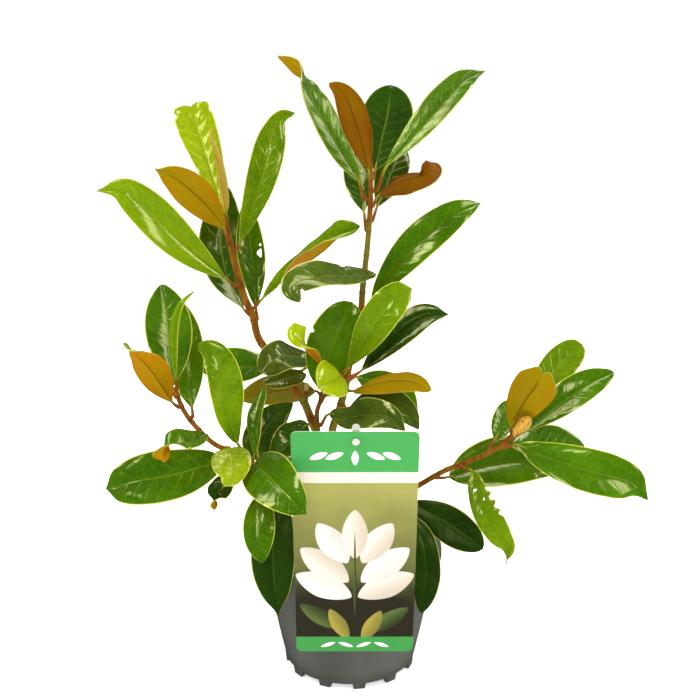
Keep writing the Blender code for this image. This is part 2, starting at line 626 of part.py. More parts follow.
def between(values, share):
    """The value at a share of the way along evenly spaced values."""
    place = share * (len(values) - 1)
    index = min(int(place), len(values) - 2)
    return values[index] + (values[index + 1] - values[index]) * (place - index)


def outline(name, share):
    """Half width of a leaf along its length, as a share of its widest."""
    rise, fall = OUTLINES.get(name, OUTLINE)
    peak = rise / (rise + fall)
    widest = peak**rise * (1 - peak)**fall
    share *= 1 - BLUNT_ENDS.get(name, 0.0)
    pinch = TIP_PINCH * exp(-((1 - share) / TIPS[name])**2) if name in TIPS else 0.0
    return (1 - pinch) * share**rise * (1 - share)**fall / widest


def faces_along(stations, middle):
    """The way the leaf's upper side faces at each station: to the front at the middle one, and
    turned from there only as far as the midrib bends."""
    spot, ahead = stations[middle]
    to_eye = (EYE - spot).normalized()
    faces = {middle: (to_eye - ahead * to_eye.dot(ahead)).normalized()}
    for step, stop in ((-1, -1), (1, len(stations))):
        for index in range(middle + step, stop, step):
            ahead = stations[index][1]
            last = faces[index - step]
            faces[index] = (last - ahead * last.dot(ahead)).normalized()
    return [faces[index] for index in range(len(stations))]


def leaf_ring(name, spot, ahead, face, share, half_width, fold, wave):
    """Ten points round a leaf: five across its upper face and five across its lower face."""
    side = ahead.cross(face)
    blade = 0.0 if share < 0 else min(share / STALK_TO_BLADE, 1.0)
    width = STALK_RADIUS if share < 0 else max(STALK_RADIUS, half_width * outline(name, share))
    upper = []
    lower = []
    for place, stalk_top, stalk_depth in zip(ACROSS, STALK_TOP, STALK_DEPTH):
        lift = ((1 + ARCH) * abs(place) - ARCH * place * place) * width * sin(radians(fold))
        lift += wave * place * abs(place) * sin(share * WAVE_ALONG + place * WAVE_ACROSS) * blade
        spread = place * width * cos(radians(fold))
        top = STALK_RADIUS * stalk_top * (1 - blade) + lift * blade
        blade_depth = BLADE + RIB_EXTRA * (place == 0)
        depth = STALK_RADIUS * stalk_depth * (1 - blade) + blade_depth * blade
        upper.append(spot + side * spread + face * top)
        lower.append(spot + side * spread + face * (top - depth))
    return upper, lower


def make_leaf(name, stem, root, route, half_width, roll, fold, wave, finish):
    """A leaf on its stalk, from just off the stem's surface to its tip, with both faces alike."""
    middle, along, radius = stem_frame(stem, *root)
    knots = [sight(*place) for place in route]
    out = knots[0] - middle
    out = (out - along * out.dot(along)).normalized()
    start = middle + out * (radius + STALK_GAP)
    stalk = [start, start + out * STALK_FOOT]
    points = smooth_curve(stalk + knots)
    lengths = lengths_along(points)
    base = lengths[len(stalk) * CURVE_STEPS]
    stations = [(base * share, -1.0) for share in STALK_STEPS]
    stations += [(base + (lengths[-1] - base) * share, share) for share in BLADE_STEPS]
    places = [point_at(points, lengths, length) for length, _ in stations]
    rings = []
    for (spot, ahead), face, (_, share) in zip(places, faces_along(places, MIDDLE_STATION), stations):
        turn = radians(between(roll, max(share, 0.0)))
        face.rotate(Matrix.Rotation(turn, 3, ahead))
        rings.append(leaf_ring(name, spot, ahead, face, share, half_width * MM, fold, wave * MM))
    bm = bmesh.new()
    uppers = [[bm.verts.new(p) for p in upper] for upper, _ in rings]
    lowers = [[bm.verts.new(p) for p in lower] for _, lower in rings]
    for k in range(len(rings) - 1):
        for i in range(len(ACROSS) - 1):
            for rows in (uppers, lowers):
                a, b, c, d = rows[k][i], rows[k][i + 1], rows[k + 1][i + 1], rows[k + 1][i]
                bm.faces.new((a, b, c))
                bm.faces.new((a, c, d))
        for i in (0, len(ACROSS) - 1):
            a, b, c, d = uppers[k][i], uppers[k + 1][i], lowers[k + 1][i], lowers[k][i]
            bm.faces.new((a, b, c))
            bm.faces.new((a, c, d))
    bm.faces.new(uppers[0] + lowers[0][::-1])
    tip = bm.verts.new(points[-1])
    edge = uppers[-1] + lowers[-1][::-1]
    for a, b in zip(edge, edge[1:] + edge[:1]):
        bm.faces.new((a, b, tip))
    return make_object("leaf_" + name, bm, finish)


def label_place():
    """Where the label's lower edge stands: its back just clears the front of the rim."""
    touch = POT_HEIGHT - RIM_DEPTH + LABEL_REST_ON_RIM
    bottom_y = (touch - LABEL_BOTTOM_Z) * tan(LABEL_LEAN) - RIM_RADIUS - STALK_GAP
    return (Matrix.Translation((LABEL_MIDDLE_X, bottom_y, LABEL_BOTTOM_Z))
            @ Matrix.Rotation(LABEL_LEAN, 4, "X"))


def peg_rod(name, radius, start, end):
    """A rod square to the label at the peg's place, from start to end behind the label's back."""
    bm = bmesh.new()
    bmesh.ops.create_cone(bm, cap_ends=True, segments=PEG_SIDES, radius1=radius, radius2=radius,
                          depth=end - start)
    place = Vector((STAKE_X - LABEL_MIDDLE_X, (start + end) / 2, LABEL_HEIGHT - PEG_DOWN))
    turn = label_place() @ Matrix.Translation(place) @ Matrix.Rotation(pi / 2, 4, "X")
    bmesh.ops.transform(bm, matrix=turn, verts=bm.verts)
    return make_object(name, bm, "stake")


def flat_plate(name, outline_points, thick, place, finish):
    """A flat outline of (x, z) points given a thickness behind it, and put in its place."""
    bm = bmesh.new()
    front = [bm.verts.new((x, 0, z)) for x, z in outline_points]
    back = [bm.verts.new((x, thick, z)) for x, z in outline_points]
    bm.faces.new(front)
    bm.faces.new(back)
    for i in range(len(front)):
        j = (i + 1) % len(front)
        bm.faces.new((front[i], front[j], back[j], back[i]))
    bmesh.ops.transform(bm, matrix=place, verts=bm.verts)
    return make_object(name, bm, finish)


def make_label():
    """The care label: a thin card with round corners and a hole for the stake's peg."""
    half = LABEL_WIDTH / 2 - LABEL_CORNER
    tall = LABEL_HEIGHT - LABEL_CORNER
    middles = ((half, tall), (-half, tall), (-half, LABEL_CORNER), (half, LABEL_CORNER))
    corners = []
    for quarter, (x, z) in enumerate(middles):
        for step in range(LABEL_CORNER_STEPS + 1):
            angle = (quarter + step / LABEL_CORNER_STEPS) * pi / 2
            corners.append((x + LABEL_CORNER * cos(angle), z + LABEL_CORNER * sin(angle)))
    place = label_place() @ Matrix.Translation((0, -LABEL_THICK, 0))
    label = flat_plate("label", corners, LABEL_THICK, place, "label")
    cut(label, peg_rod("hole", PEG_RADIUS + GAP, -HOLE_HALF_DEPTH, HOLE_HALF_DEPTH))
    return label


def stake_place():
    """The stake's top stands behind the label's upper edge, and it leans a little more."""
    edge = label_place() @ Vector((0, GAP, LABEL_HEIGHT))
    top = Vector((STAKE_X, edge.y, edge.z))
    turn = Matrix.Rotation(STAKE_LEAN, 4, "X")
    lift = Matrix.Translation((0, STAKE_BEHIND_LABEL, STAKE_ABOVE_LABEL))
    return Matrix.Translation(top) @ turn @ lift


def stake_outline(extra):
    """The stake's flat outline, hanging down from its round top to its point."""
    half = STAKE_WIDTH / 2 + extra
    angles = [pi * i / STAKE_ARC_STEPS for i in range(STAKE_ARC_STEPS + 1)]
    arc = [(half * cos(angle), half * sin(angle) - half) for angle in angles]
    shoulder = STAKE_LENGTH - STAKE_POINT
    return arc + [(-half, -shoulder), (0, -STAKE_LENGTH - extra), (half, -shoulder)]


def make_stake():
    """The stake in the soil, with the peg that carries the label."""
    stake = flat_plate("stake", stake_outline(0), STAKE_THICK, stake_place(), "stake")
    front = -LABEL_THICK - GAP
    others = [peg_rod("peg", PEG_RADIUS, front - PEG_INTO_HEAD, PEG_INTO_STAKE),
              peg_rod("peg_head", PEG_HEAD_RADIUS, front - PEG_HEAD_THICK, front)]
    join_by_union(stake, others)
    return stake


def make_soil_holes(soil):
    """Plain holes in the soil for the trunk and for the stake, a little wider than they are."""
    knots = stem_knots("top")[:2]
    knots[0] = knots[0] - Vector((0, 0, GAP))
    radius = TRUNK_RADIUS + GAP + TRUNK_HOLE_SPARE
    cut(soil, tube("trunk_hole", knots, radius, radius, sides=HOLE_SIDES))
    place = stake_place() @ Matrix.Translation((0, -GAP, 0))
    cut(soil, flat_plate("stake_hole", stake_outline(GAP), STAKE_THICK + 2 * GAP, place, "soil"))


def build():
    for item in list(bpy.data.objects):
        bpy.data.objects.remove(item)
    make_pot()
    make_soil_holes(make_soil())
    make_stems()
    for leaf in LEAVES:
        make_leaf(*leaf)
    make_label()
    make_stake()


build()
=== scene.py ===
"""The looks of a potted southern magnolia: fine leaves, bark, soil, pot, care label and stake,
each in place of the plain solid of the same name, with the camera, the lights and a pale floor."""

import bpy
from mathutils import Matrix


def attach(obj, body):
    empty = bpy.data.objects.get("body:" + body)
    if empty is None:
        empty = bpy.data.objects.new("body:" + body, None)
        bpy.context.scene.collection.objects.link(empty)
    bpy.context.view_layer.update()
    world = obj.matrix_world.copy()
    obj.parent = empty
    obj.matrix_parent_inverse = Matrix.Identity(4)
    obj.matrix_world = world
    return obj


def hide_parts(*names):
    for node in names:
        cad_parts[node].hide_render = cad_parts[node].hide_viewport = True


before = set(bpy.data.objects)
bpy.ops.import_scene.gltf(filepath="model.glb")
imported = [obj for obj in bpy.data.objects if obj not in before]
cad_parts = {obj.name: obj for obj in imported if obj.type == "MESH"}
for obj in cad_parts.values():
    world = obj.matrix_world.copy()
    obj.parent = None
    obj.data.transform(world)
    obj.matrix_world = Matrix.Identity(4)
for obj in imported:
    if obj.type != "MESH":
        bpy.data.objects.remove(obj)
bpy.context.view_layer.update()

import bpy
import random
from math import atan2, cos, exp, pi, radians, sin, tan
from mathutils import Matrix, Vector, noise

MM = 0.001
HAIR = 0.1 * MM

# Pot, a turned plastic shell with a rolled rim and short feet
POT_HEIGHT = 118 * MM
RIM_RADIUS = 88 * MM
RIM_DEPTH = 9 * MM
WALL_TOP_RADIUS = 82 * MM
WALL_BASE_RADIUS = 62.5 * MM
WALL = 1.6 * MM
WALL_BULGE = 1.2 * MM
FOOT_HEIGHT = 4 * MM
FOOT_COUNT = 12
FOOT_START = radians(-82)
FOOT_WIDTH = 13 * MM
FOOT_DEPTH = 6 * MM
FOOT_STAND_OUT = 1.1 * MM
FOOT_INTO_POT = 3 * MM
FOOT_TAPER = (0.8, 0.82, 1)
FOOT_ROUNDING = 0.9 * MM
CENTRE_PAD_RADIUS = 9 * MM
FLOOR_THICK = 2 * WALL
RIM_ROUNDING = 2 * MM
RIM_ARC = (0.3, 0.8, 1.2, pi / 2)
WALL_RINGS = 21
WALL_RING_STEP = 5 * MM
POT_SIDES = 96

# Soil, with the heights in mm at which its side follows the pot
SOIL_TOP = 106 * MM
SOIL_BASE = FOOT_HEIGHT + FLOOR_THICK + 1.5 * MM
SOIL_BASE_RADII = (4 * MM, WALL_BASE_RADIUS - WALL - 1.5 * MM)
SOIL_SIDE_HEIGHTS = (30, 60, 85)
SOIL_INSET = WALL + 0.5 * MM
SOIL_RINGS = 26
SOIL_LUMP = 1.6 * MM
SOIL_CRUMB = 1.5 * MM
SOIL_CRUMB_SCALE = 240
SOIL_EDGE_SINK = 1 * MM

# Chips of bark: the seed of their places and of their lumpy shape, their length in mm, their other
# sizes as shares of it, and how far they tilt in radians. Those near the trunk or under the label,
# at those angles round the pot, are halved
CHIP_COUNT = 420
CHIP_SEED = 7
CHIP_LENGTHS = (2.5, 8.0)
CHIP_WIDTHS = (0.35, 0.8)
CHIP_DEPTHS = (0.15, 0.4)
CHIP_TILT = 0.5
CHIP_BEVEL = 0.18
CHIP_LUMPS = 2.3
CHIP_ROUGHNESS = 0.16
CHIP_SPREAD = (0.09, 0.955)
CHIP_CROWDING = 0.6
CHIP_CLEARANCE = 0.6
CHIP_LIFT = 0.6 * MM
NEAR_TRUNK = 12 * MM
UNDER_LABEL_FROM = 60 * MM
UNDER_LABEL_ANGLES = (4.2, 5.2)

# Care label, leaning towards the front, with a hole for the peg
LABEL_WIDTH = 105 * MM
LABEL_HEIGHT = 229 * MM
LABEL_THICK = 0.8 * MM
LABEL_CORNER = 5 * MM
LABEL_LEAN = radians(11.0)
LABEL_MIDDLE_X = 4.2 * MM
LABEL_BOTTOM_Z = 48 * MM
LABEL_REST_HEIGHT = 112 * MM
LABEL_GAP = 0.4 * MM
CORNER_SEGMENTS = 8
CARD_ROUNDING = 0.12 * MM
HOLE_CLEARANCE = 0.3 * MM
CUTTER_LENGTH = 10 * MM

# Stake behind the label, which leans a little more, and its peg
STAKE_LEAN = radians(14.1)
STAKE_WIDTH = 6.5 * MM
STAKE_THICK = 1.5 * MM
STAKE_X = 4.8 * MM
STAKE_LENGTH = 221 * MM
STAKE_ABOVE_LABEL = 6.0 * MM
STAKE_BEHIND_LABEL = 0.4 * MM
STAKE_POINT = 8 * MM
STAKE_NARROWED = 0.12
STAKE_ROUNDING = 0.25 * MM
STAKE_CUTS = 24
ROUND_TOP_SHARE = 0.3
PEG_DOWN = 9 * MM
PEG_RADIUS = 2.0 * MM
PEG_HEAD_RADIUS = 3.2 * MM
PEG_HEAD_THICK = 1.2 * MM
PEG_HEAD_GAP = 0.3 * MM
PEG_HEAD_ROUNDING = 0.35 * MM
PEG_OUT_OF_LABEL = 0.4 * MM
PEG_INTO_STAKE = 1.2 * MM
PEG_ROUNDING = 0.1 * MM
PEG_SIDES = 32

# The label's print, in metres from its middle line and its lower edge
PICTURE_LOW = 17 * MM
PICTURE_DARK = 60 * MM
PICTURE_MIDDLE = 100 * MM
PICTURE_HIGH = 180 * MM
STRIP_TOP = 190.5 * MM
PRINT_SOFT = 0.15 * MM
PETAL_POWERS = (1.4, 1.7)
SPRIG_COLOURS = {
    "pale": ("f0e9e0", "d8cdc4"),
    "cream": ("e9dfd2", "c9bba6"),
    "leaf": ("5d6f34", "35401f"),
    "gold": ("a99a3c", "7f7a30"),
}
# Pointed ovals: the middle's place across and up, half the width and half the length in mm, and the
# turn in radians, with the colour of those that make up the sprig
SPRIG = (
    ((-31, 40, 8, 22, 0.9), "leaf"), ((30, 36, 8, 22, -0.9), "leaf"),
    ((-14, 31, 7, 19, 0.45), "gold"), ((15, 29, 7, 19, -0.45), "gold"),
    ((-27, 74, 13, 27, 1.1), "pale"), ((27, 74, 13, 27, -1.1), "cream"),
    ((-26, 96, 13, 27, 0.85), "cream"), ((26, 96, 13, 27, -0.85), "pale"),
    ((-19, 119, 12, 24, 0.55), "pale"), ((19, 119, 12, 24, -0.55), "cream"),
    ((0, 128, 11, 25, 0.0), "cream"), ((0, 84, 1.1, 46, 0.0), "leaf"),
)
CARD_MARKS = (
    (-24, 8, 2, 7, -1.2), (-8, 8, 2, 7, 1.2), (8, 8, 2, 7, -1.2), (24, 8, 2, 7, 1.2),
    (-30, 206, 3, 8, -1.2), (-17, 206, 3, 8, -1.2), (30, 206, 3, 8, 1.2), (17, 206, 3, 8, 1.2),
    (0, 204, 3, 7, 0),
)
# Plain bands over the picture: where each begins, how softly (upwards, or downwards if below 0), colour
PRINT_BANDS = ((PICTURE_HIGH, PRINT_SOFT, "dedacb"), (STRIP_TOP, PRINT_SOFT, "44a24e"),
               (PICTURE_LOW, -PRINT_SOFT, "449c4a"))

# Leaf blades: thickness, grid, outline, arch and the waves of the edge
BLADE = 0.7 * MM
CELLS_ACROSS = 20
CELLS_ALONG = 64
JOIN_WITHIN = 0.02 * MM
OUTLINE = (0.92, 0.80)
BASE_SHARE = 0.06
ARCH = 0.75
MIDDLE_SHARE = 0.42
WAVE_ALONG = 11
WAVE_ACROSS = 1.5

# Veins, the midrib's groove and the turned-down edge, with the half widths of a blade between which
# each fades in, and how light and how orange a leaf is
VEIN_PAIRS = 9
VEIN_SLANT = 1.3
VEIN_SHIFT = 0.45
PUFF = 0.17 * MM
PUFF_FADE = (2 * MM, 9 * MM)
GROOVE = 0.35 * MM
GROOVE_WIDTH = 0.9 * MM
GROOVE_FADE = (1 * MM, 5 * MM)
EDGE_TURN = 0.5 * MM
EDGE_TURN_FADE = (2 * MM, 8 * MM)
EDGE_POWER = 6
SHADE_SPREAD = 0.18
SHADE_MIDDLE = 0.5
FELT_MIDDLE = 0.4

# Leaf stalks: how deep their foot is in the stem, as a share of its radius, and how thick they are
# at their foot, at even steps to the blade, and at their end in it, as shares of STALK_RADIUS
STALK_RADIUS = 1.25 * MM
STALK_DEPTH = 0.5
STALK_GAP = 0.4 * MM
STALK_FOOT = 2.5 * MM
STALK_INTO_BLADE = 9 * MM
STALK_STEPS = 8
STALK_SWELLS = (1.9, 1.7, 1.5, 1.38, 1.3, 1.24, 1.18, 1.12, 1.06, 1.0, 0.4)

# The front view in which the plant's branching is laid out: a grid 700 wide and 700 high,
# seen by an eye in front of the pot that looks slightly down
EYE = Vector((0.0, -900 * MM, 541 * MM))
EYE_PITCH = radians(14.4)
EYE_SCALE = 1016.0
VIEW_MIDDLE = 350.0
CURVE_STEPS = 12

# Wood: the trunk, the rings where leaves grow or grew, the skin and how far its marks reach
TRUNK_FOOT = 62 * MM
TRUNK_RADIUS = 5.2 * MM
STEM_SWELL = 0.06
ROD_STEP = 1.5 * MM
RING_RISE = 0.45 * MM
RING_WIDTH = 1.1 * MM
RING_PAINT = (0.3 * MM, 0.9 * MM)
RING_NEAR = 8 * MM
OLD_SCAR_STEP = 17 * MM
CUT_PAINT = (5 * MM, 9 * MM)
WOOD_VOXEL = 0.8 * MM

# Each stem: its route as (view x, view y, depth in mm behind the pot's axis), and its radius in mm
# at the start and at the end
STEMS = {
    "top": (((350, 548, 0), (344, 510, -1), (337, 462, -2), (332, 433, -3), (339.5, 409, -3),
            (345, 388, -3), (350, 360, -2), (360, 319, 0), (363, 285, 1), (367, 250, 2),
            (370, 211, 4), (371, 176, 5)), 4.6, 2.3),
    "left": (((336, 466, -1), (323, 447, 2), (310, 416, 8), (304, 402, 10), (296, 391, 12),
            (284, 374, 17), (270, 355, 23), (258, 337, 28), (253, 317, 32), (244, 296, 38),
            (235, 263, 46), (226, 226, 54)), 4.4, 3.3),
    "centre": (((318, 432, 5), (317, 412, 1), (322, 399, -3), (334, 384, -10),
            (343, 375, -14)), 2.6, 2.0),
    "low": (((346, 524, -3), (322, 508, -24), (290, 490, -45), (262, 471, -56),
            (243, 456, -61), (216, 445, -60), (199, 430, -58), (184, 411, -56),
            (175, 389, -53)), 3.2, 2.2),
    "right": (((345, 528, -3), (378, 508, -12), (400, 496, -18), (421, 484, -23),
            (446, 470, -28), (472, 460, -32), (499, 447, -35), (514, 434, -37)), 3.2, 2.2),
}
# Short shoots in the same form: the bud at the top, the pruned stub and a spur on the right branch
SHOOTS = {
    "top_bud": (((371, 178, 5), (371.5, 165, 5), (371, 152, 5)), 2.2, 0.5),
    "stub": (((305, 404, 8), (306, 394, 6), (307, 383, 4)), 3.0, 2.2),
    "spur": (((513, 433, -37), (516, 423, -40), (519, 413, -43)), 1.4, 0.6),
}
# The furry bud on the right branch: its route, and its radius in mm at shares of its length
RIGHT_BUD = ((513, 435, -37), (519, 429, -40), (525, 423, -42), (530, 416, -43))
BUD_SHAPE = ((0.0, 2.1), (0.3, 4.2), (0.6, 6.4), (0.8, 5.6), (0.93, 3.2), (1.0, 1.0))
BUD_STEPS = 14
BUD_GROOVE = 0.22 * MM
BUD_TWIST = 120

# Each leaf: name, stem, where its stalk leaves the stem (view x, view y), the route of its midrib
# from the blade's base to its tip as (view x, view y, depth in mm), half its width in mm, how far
# it is rolled about its midrib in degrees, at even steps from base to tip (0 shows its upper side
# to the front, 180 its underside), the fold along the midrib in degrees, the wave of its edge in mm
# and its colour
LEAVES = (
    ("left_a", "left", (236, 286),
     ((226, 279, 32), (197, 257, 14), (169, 232, -2), (143, 206, -12), (121, 190, -18), (97, 191, -22)),
     18, (16, 8, -4), 14, 1.0, "light"),
    ("left_b", "left", (229, 240),
     ((225, 230, 42), (213, 213, 22), (196, 195, 0), (177, 180, -20), (155, 169, -34)),
     16, (180, 184, 200), 14, 0.8, "under"),
    ("left_c", "left", (227, 231),
     ((223, 218, 58), (217, 190, 68), (207, 158, 82), (197, 128, 94), (190, 104, 102)),
     19, (20, 10, 0), 12, 1.6, "bright"),
    ("left_d", "left", (226, 226),
     ((226, 212, 47), (221, 182, 38), (216, 155, 30), (211, 140, 26), (212, 127, 20)),
     6, (150, 140, 130), 40, 0.0, "bright"),
    ("left_e", "left", (232, 252),
     ((240, 243, 42), (248, 219, 42), (258, 190, 45), (267, 158, 50), (273, 133, 55), (281, 117, 59),
      (295, 113, 63)),
     15, (0, 0, 0, 70), 14, 0.8, "mid"),
    ("left_f", "left", (251, 313),
     ((243, 308, 48), (227, 276, 78), (221, 240, 98), (227, 186, 112)),
     23, (16, 12, 8), 10, 1.0, "dark"),
    ("left_g", "left", (254, 321),
     ((256, 308, 42), (254, 275, 56), (250, 240, 68), (245, 200, 74)),
     14, (-14, -14, -14), 10, 1.0, "mid"),
    ("left_h", "left", (250, 309),
     ((262, 299, 26), (283, 281, 14), (305, 264, -2), (324, 250, -18), (342, 234, -30),
      (360, 226, -36)),
     19, (-36, -50, -80, -85, -74, -20), 36, 0.6, "light"),
    ("top_a", "top", (365, 272),
     ((375, 275, -15), (360, 275, -28), (338, 276, -44), (316, 277, -60), (299, 281, -70),
      (292, 289, -76), (300, 302, -80)),
     16, (44, 48, 46, 30), 14, 1.4, "olive"),
    ("top_b", "top", (370, 199),
     ((359, 181, 1), (341, 151, -10), (325, 122, -16), (312, 97, -16), (304, 76, -10), (292, 64, -2),
      (278, 56, 4)),
     14, (30, 33, 35, 37, 42, 60, 132, 160), 12, 0.8, "mid"),
    ("top_c", "top", (371, 188),
     ((369, 173, -6), (363, 148, -26), (356, 124, -42), (349, 104, -54), (341, 91, -60),
      (329, 83, -64)),
     12.5, (182, 181, 180, 186), 14, 0.8, "under"),
    ("top_d", "top", (371, 180),
     ((375, 170, 15), (382, 138, 36), (388, 112, 52), (391, 85, 66)),
     24, (-2, -4, -5), 6, 0.8, "dark"),
    ("top_e", "top", (371, 191),
     ((386, 167, 2), (404, 146, 2), (428, 119, 6), (450, 94, 12), (465, 79, 17), (485, 71, 24)),
     14, (-28, -27, -24, -12), 17, 0.8, "mid"),
    ("top_f", "top", (370, 206),
     ((378, 196, -8), (390, 187, -26), (402, 181, -42), (415, 178, -54), (426, 175, -58),
      (430, 167, -52), (426, 161, -44)),
     13, (150, 142, 128, 112, 150), 26, 1.0, "under"),
    ("top_g", "top", (369, 229),
     ((364, 212, 16), (359, 185, 38), (353, 148, 62)),
     13, (0, 0, 0), 12, 0.8, "dark"),
    ("top_h", "top", (369, 222),
     ((377, 207, 15), (387, 184, 34), (396, 160, 54), (402, 142, 72)),
     15, (0, 0, 0), 12, 0.8, "dark"),
    ("top_i", "top", (361, 313),
     ((371, 301, -6), (390, 275, -8), (413, 249, -10), (438, 227, -8), (460, 211, -2),
      (481, 203, 8)),
     17, (-16, -14, -10), 16, 0.8, "mid"),
    ("centre_a", "centre", (321, 401),
     ((322, 391, 6), (325, 370, -1), (333, 345, -11), (343, 321, -16), (352, 302, -14)),
     24, (-8, -5, 0), 10, 0.8, "mid"),
    ("centre_b", "centre", (342, 376),
     ((347, 368, -24), (358, 351, -33), (373, 327, -44), (387, 307, -46), (398, 296, -43),
      (412, 288, -38)),
     16, (-10, -6, 0), 12, 0.8, "light"),
    ("centre_c", "top", (347, 376),
     ((361, 371, 9), (380, 353, 16), (401, 334, 28), (425, 317, 44), (449, 314, 56)),
     17, (-14, -12, -10), 36, 0.8, "dark"),
    ("centre_d", "top", (345, 388),
     ((353, 391, -20), (373, 385, -38), (399, 381, -56), (418, 384, -66), (431, 391, -72)),
     13, (125, 128, 135), 10, 0.6, "under"),
    ("centre_e", "centre", (339, 379),
     ((341, 376, -30), (334, 379, -48), (326, 383, -62), (318, 388, -72)),
     19, (15, 10, 5), 16, 0.4, "bright"),
    ("centre_f", "centre", (333, 385),
     ((326, 372, -26), (318, 360, -40), (309, 349, -50), (301, 339, -54), (296, 332, -55),
      (294, 323, -56)),
     12, (132, 132, 130, 110, 40, 0), 10, 0.4, "bright"),
    ("centre_g", "top", (346, 381),
     ((356, 377, 14), (376, 382, 32), (397, 396, 48), (417, 420, 60)),
     18, (10, 5, 0), 12, 1.0, "mid"),
    ("centre_h", "top", (341, 403),
     ((347, 412, -12), (364, 405, -26), (384, 401, -40), (404, 410, -52), (419, 429, -58)),
     15, (-14, -12, -8), 14, 1.8, "olive"),
    ("centre_i", "centre", (318, 424),
     ((329, 414, -18), (347, 417, -36), (368, 415, -54), (389, 417, -68), (405, 430, -78)),
     15, (-34, -26, -20), 16, 2.4, "olive"),
    ("back_a", "left", (283, 373),
     ((274, 368, 34), (252, 367, 52), (226, 366, 70), (196, 362, 86)),
     19, (24, 20, 16), 12, 1.0, "dark"),
    ("back_b", "centre", (322, 399),
     ((316, 391, 10), (296, 389, 34), (270, 392, 54), (238, 399, 70)),
     17, (150, 150, 150), 10, 0.8, "olive"),
    ("back_c", "left", (288, 379),
     ((310, 363, 21), (301, 357, 12), (288, 356, -7), (275, 359, -23), (262, 373, -35)),
     16, (36, 36, 40), 10, 1.8, "olive"),
    ("back_d", "left", (293, 387),
     ((305, 374, 2), (295, 376, -8), (280, 380, -16), (263, 384, -22)),
     13, (42, 42, 42), 10, 0.8, "dark"),
    ("back_e", "low", (262, 471),
     ((258, 456, -60), (257, 434, -52), (260, 410, -42), (265, 387, -30)),
     12, (-55, -55, -50), 24, 0.8, "mid"),
    ("back_f", "low", (256, 467),
     ((253, 460, -44), (256, 448, -33), (263, 433, -22), (275, 417, -12), (293, 403, -2)),
     17, (8, 8, 8), 10, 0.8, "dark"),
    ("back_g", "left", (319, 438),
     ((308, 424, -6), (297, 434, -20), (286, 447, -32), (272, 462, -38)),
     17, (0, 0, 0), 14, 1.0, "dark"),
    ("low_a", "low", (178, 397),
     ((172, 388, -48), (170, 352, -34), (167, 316, -18), (162, 284, -4)),
     21, (10, 5, 0), 10, 0.8, "mid"),
    ("low_b", "low", (190, 419),
     ((192, 408, -46), (189, 386, -28), (185, 355, -10), (183, 328, 6), (180, 300, 18)),
     18, (-12, -8, -5), 10, 0.8, "mid"),
    ("low_c", "low", (175, 389),
     ((176, 378, -62), (175, 350, -74), (177, 322, -80), (182, 304, -80), (194, 291, -74)),
     5.5, (-48, -48, -50, -60), 22, 0.4, "light"),
    ("low_d", "low", (181, 406),
     ((172, 402, -66), (159, 382, -84), (145, 363, -98), (123, 343, -106)),
     14, (178, 176, 172, 166, 158, 130, 40), 14, 0.8, "under"),
    ("low_e", "low", (250, 461),
     ((238, 444, -76), (230, 419, -86), (226, 392, -94), (221, 367, -96), (213, 352, -94),
      (198, 344, -92)),
     15, (20, 20, 15, 5), 14, 0.8, "light"),
    ("low_f", "low", (224, 448),
     ((230, 448, -74), (231, 459, -90), (232, 470, -102), (230, 479, -112), (224, 486, -118)),
     17, (0, 0, 0), 10, 0.4, "bright"),
    ("low_g", "low", (234, 452),
     ((224, 460, -66), (204, 466, -72), (172, 475, -80), (138, 481, -88), (106, 489, -92)),
     23, (14, 10, 0), 10, 1.8, "mid"),
    ("low_h", "low", (208, 438),
     ((206, 435, -78), (196, 439, -90), (183, 442, -100), (170, 444, -106), (163, 451, -106),
      (164, 462, -102)),
     13, (46, 42, 38, 90, 168), 22, 0.8, "mid"),
    ("low_i", "low", (229, 451),
     ((231, 466, -54), (228, 477, -58), (222, 487, -64), (215, 496, -69), (214, 510, -72)),
     10, (10, 8, 5, 0, 90, 180), 14, 0.6, "dark"),
    ("front_a", "low", (256, 467),
     ((254, 463, -82), (267, 475, -110), (285, 493, -134), (307, 515, -150)),
     22, (-5, 0, 5), 12, 0.8, "mid"),
    ("front_b", "low", (269, 476),
     ((266, 489, -76), (260, 515, -94), (259, 540, -104), (262, 563, -108)),
     14, (0, 0, 0), 14, 0.8, "mid"),
    ("front_c", "low", (282, 485),
     ((282, 502, -58), (275, 530, -70), (273, 560, -76), (275, 590, -78), (278, 617, -78)),
     20, (0, 0, 0), 12, 1.6, "dark"),
    ("front_d", "right", (406, 493),
     ((410, 502, -38), (424, 510, -50), (446, 522, -62), (466, 536, -70), (483, 549, -76)),
     17, (12, 10, 8), 10, 0.8, "dark"),
    ("front_e", "right", (392, 500),
     ((402, 512, -46), (420, 534, -70), (426, 565, -80), (425, 592, -80), (421, 613, -78)),
     13, (-10, 0, 0), 12, 0.8, "dark"),
    ("right_a", "right", (513, 435),
     ((511, 427, -25), (517, 414, -31), (527, 398, -48), (537, 384, -64), (545, 369, -76)),
     19, (180, 180, 180), 10, 0.8, "olive"),
    ("right_b", "right", (506, 441),
     ((522, 423, -13), (539, 394, 0), (556, 369, 12), (570, 354, 20), (582, 344, 25)),
     16, (0, 0, 0), 10, 0.8, "mid"),
    ("right_c", "right", (511, 437),
     ((524, 431, -23), (548, 412, -20), (572, 395, -20), (594, 381, -18), (614, 372, -14)),
     16, (-24, -22, -16), 14, 0.8, "mid"),
    ("right_d", "right", (500, 446),
     ((512, 446, -22), (534, 443, -2), (558, 443, 13), (585, 449, 26)),
     17, (-16, -16, -8), 10, 0.8, "dark"),
    ("right_e", "right", (505, 442),
     ((518, 445, -48), (546, 457, -62), (582, 469, -72), (613, 477, -75), (634, 484, -74),
      (648, 500, -71)),
     20, (-10, -9, -8, -4, 0), 14, 1.0, "mid"),
    ("right_f", "right", (462, 464),
     ((472, 471, -46), (478, 490, -58), (487, 512, -68), (499, 533, -72), (507, 548, -72),
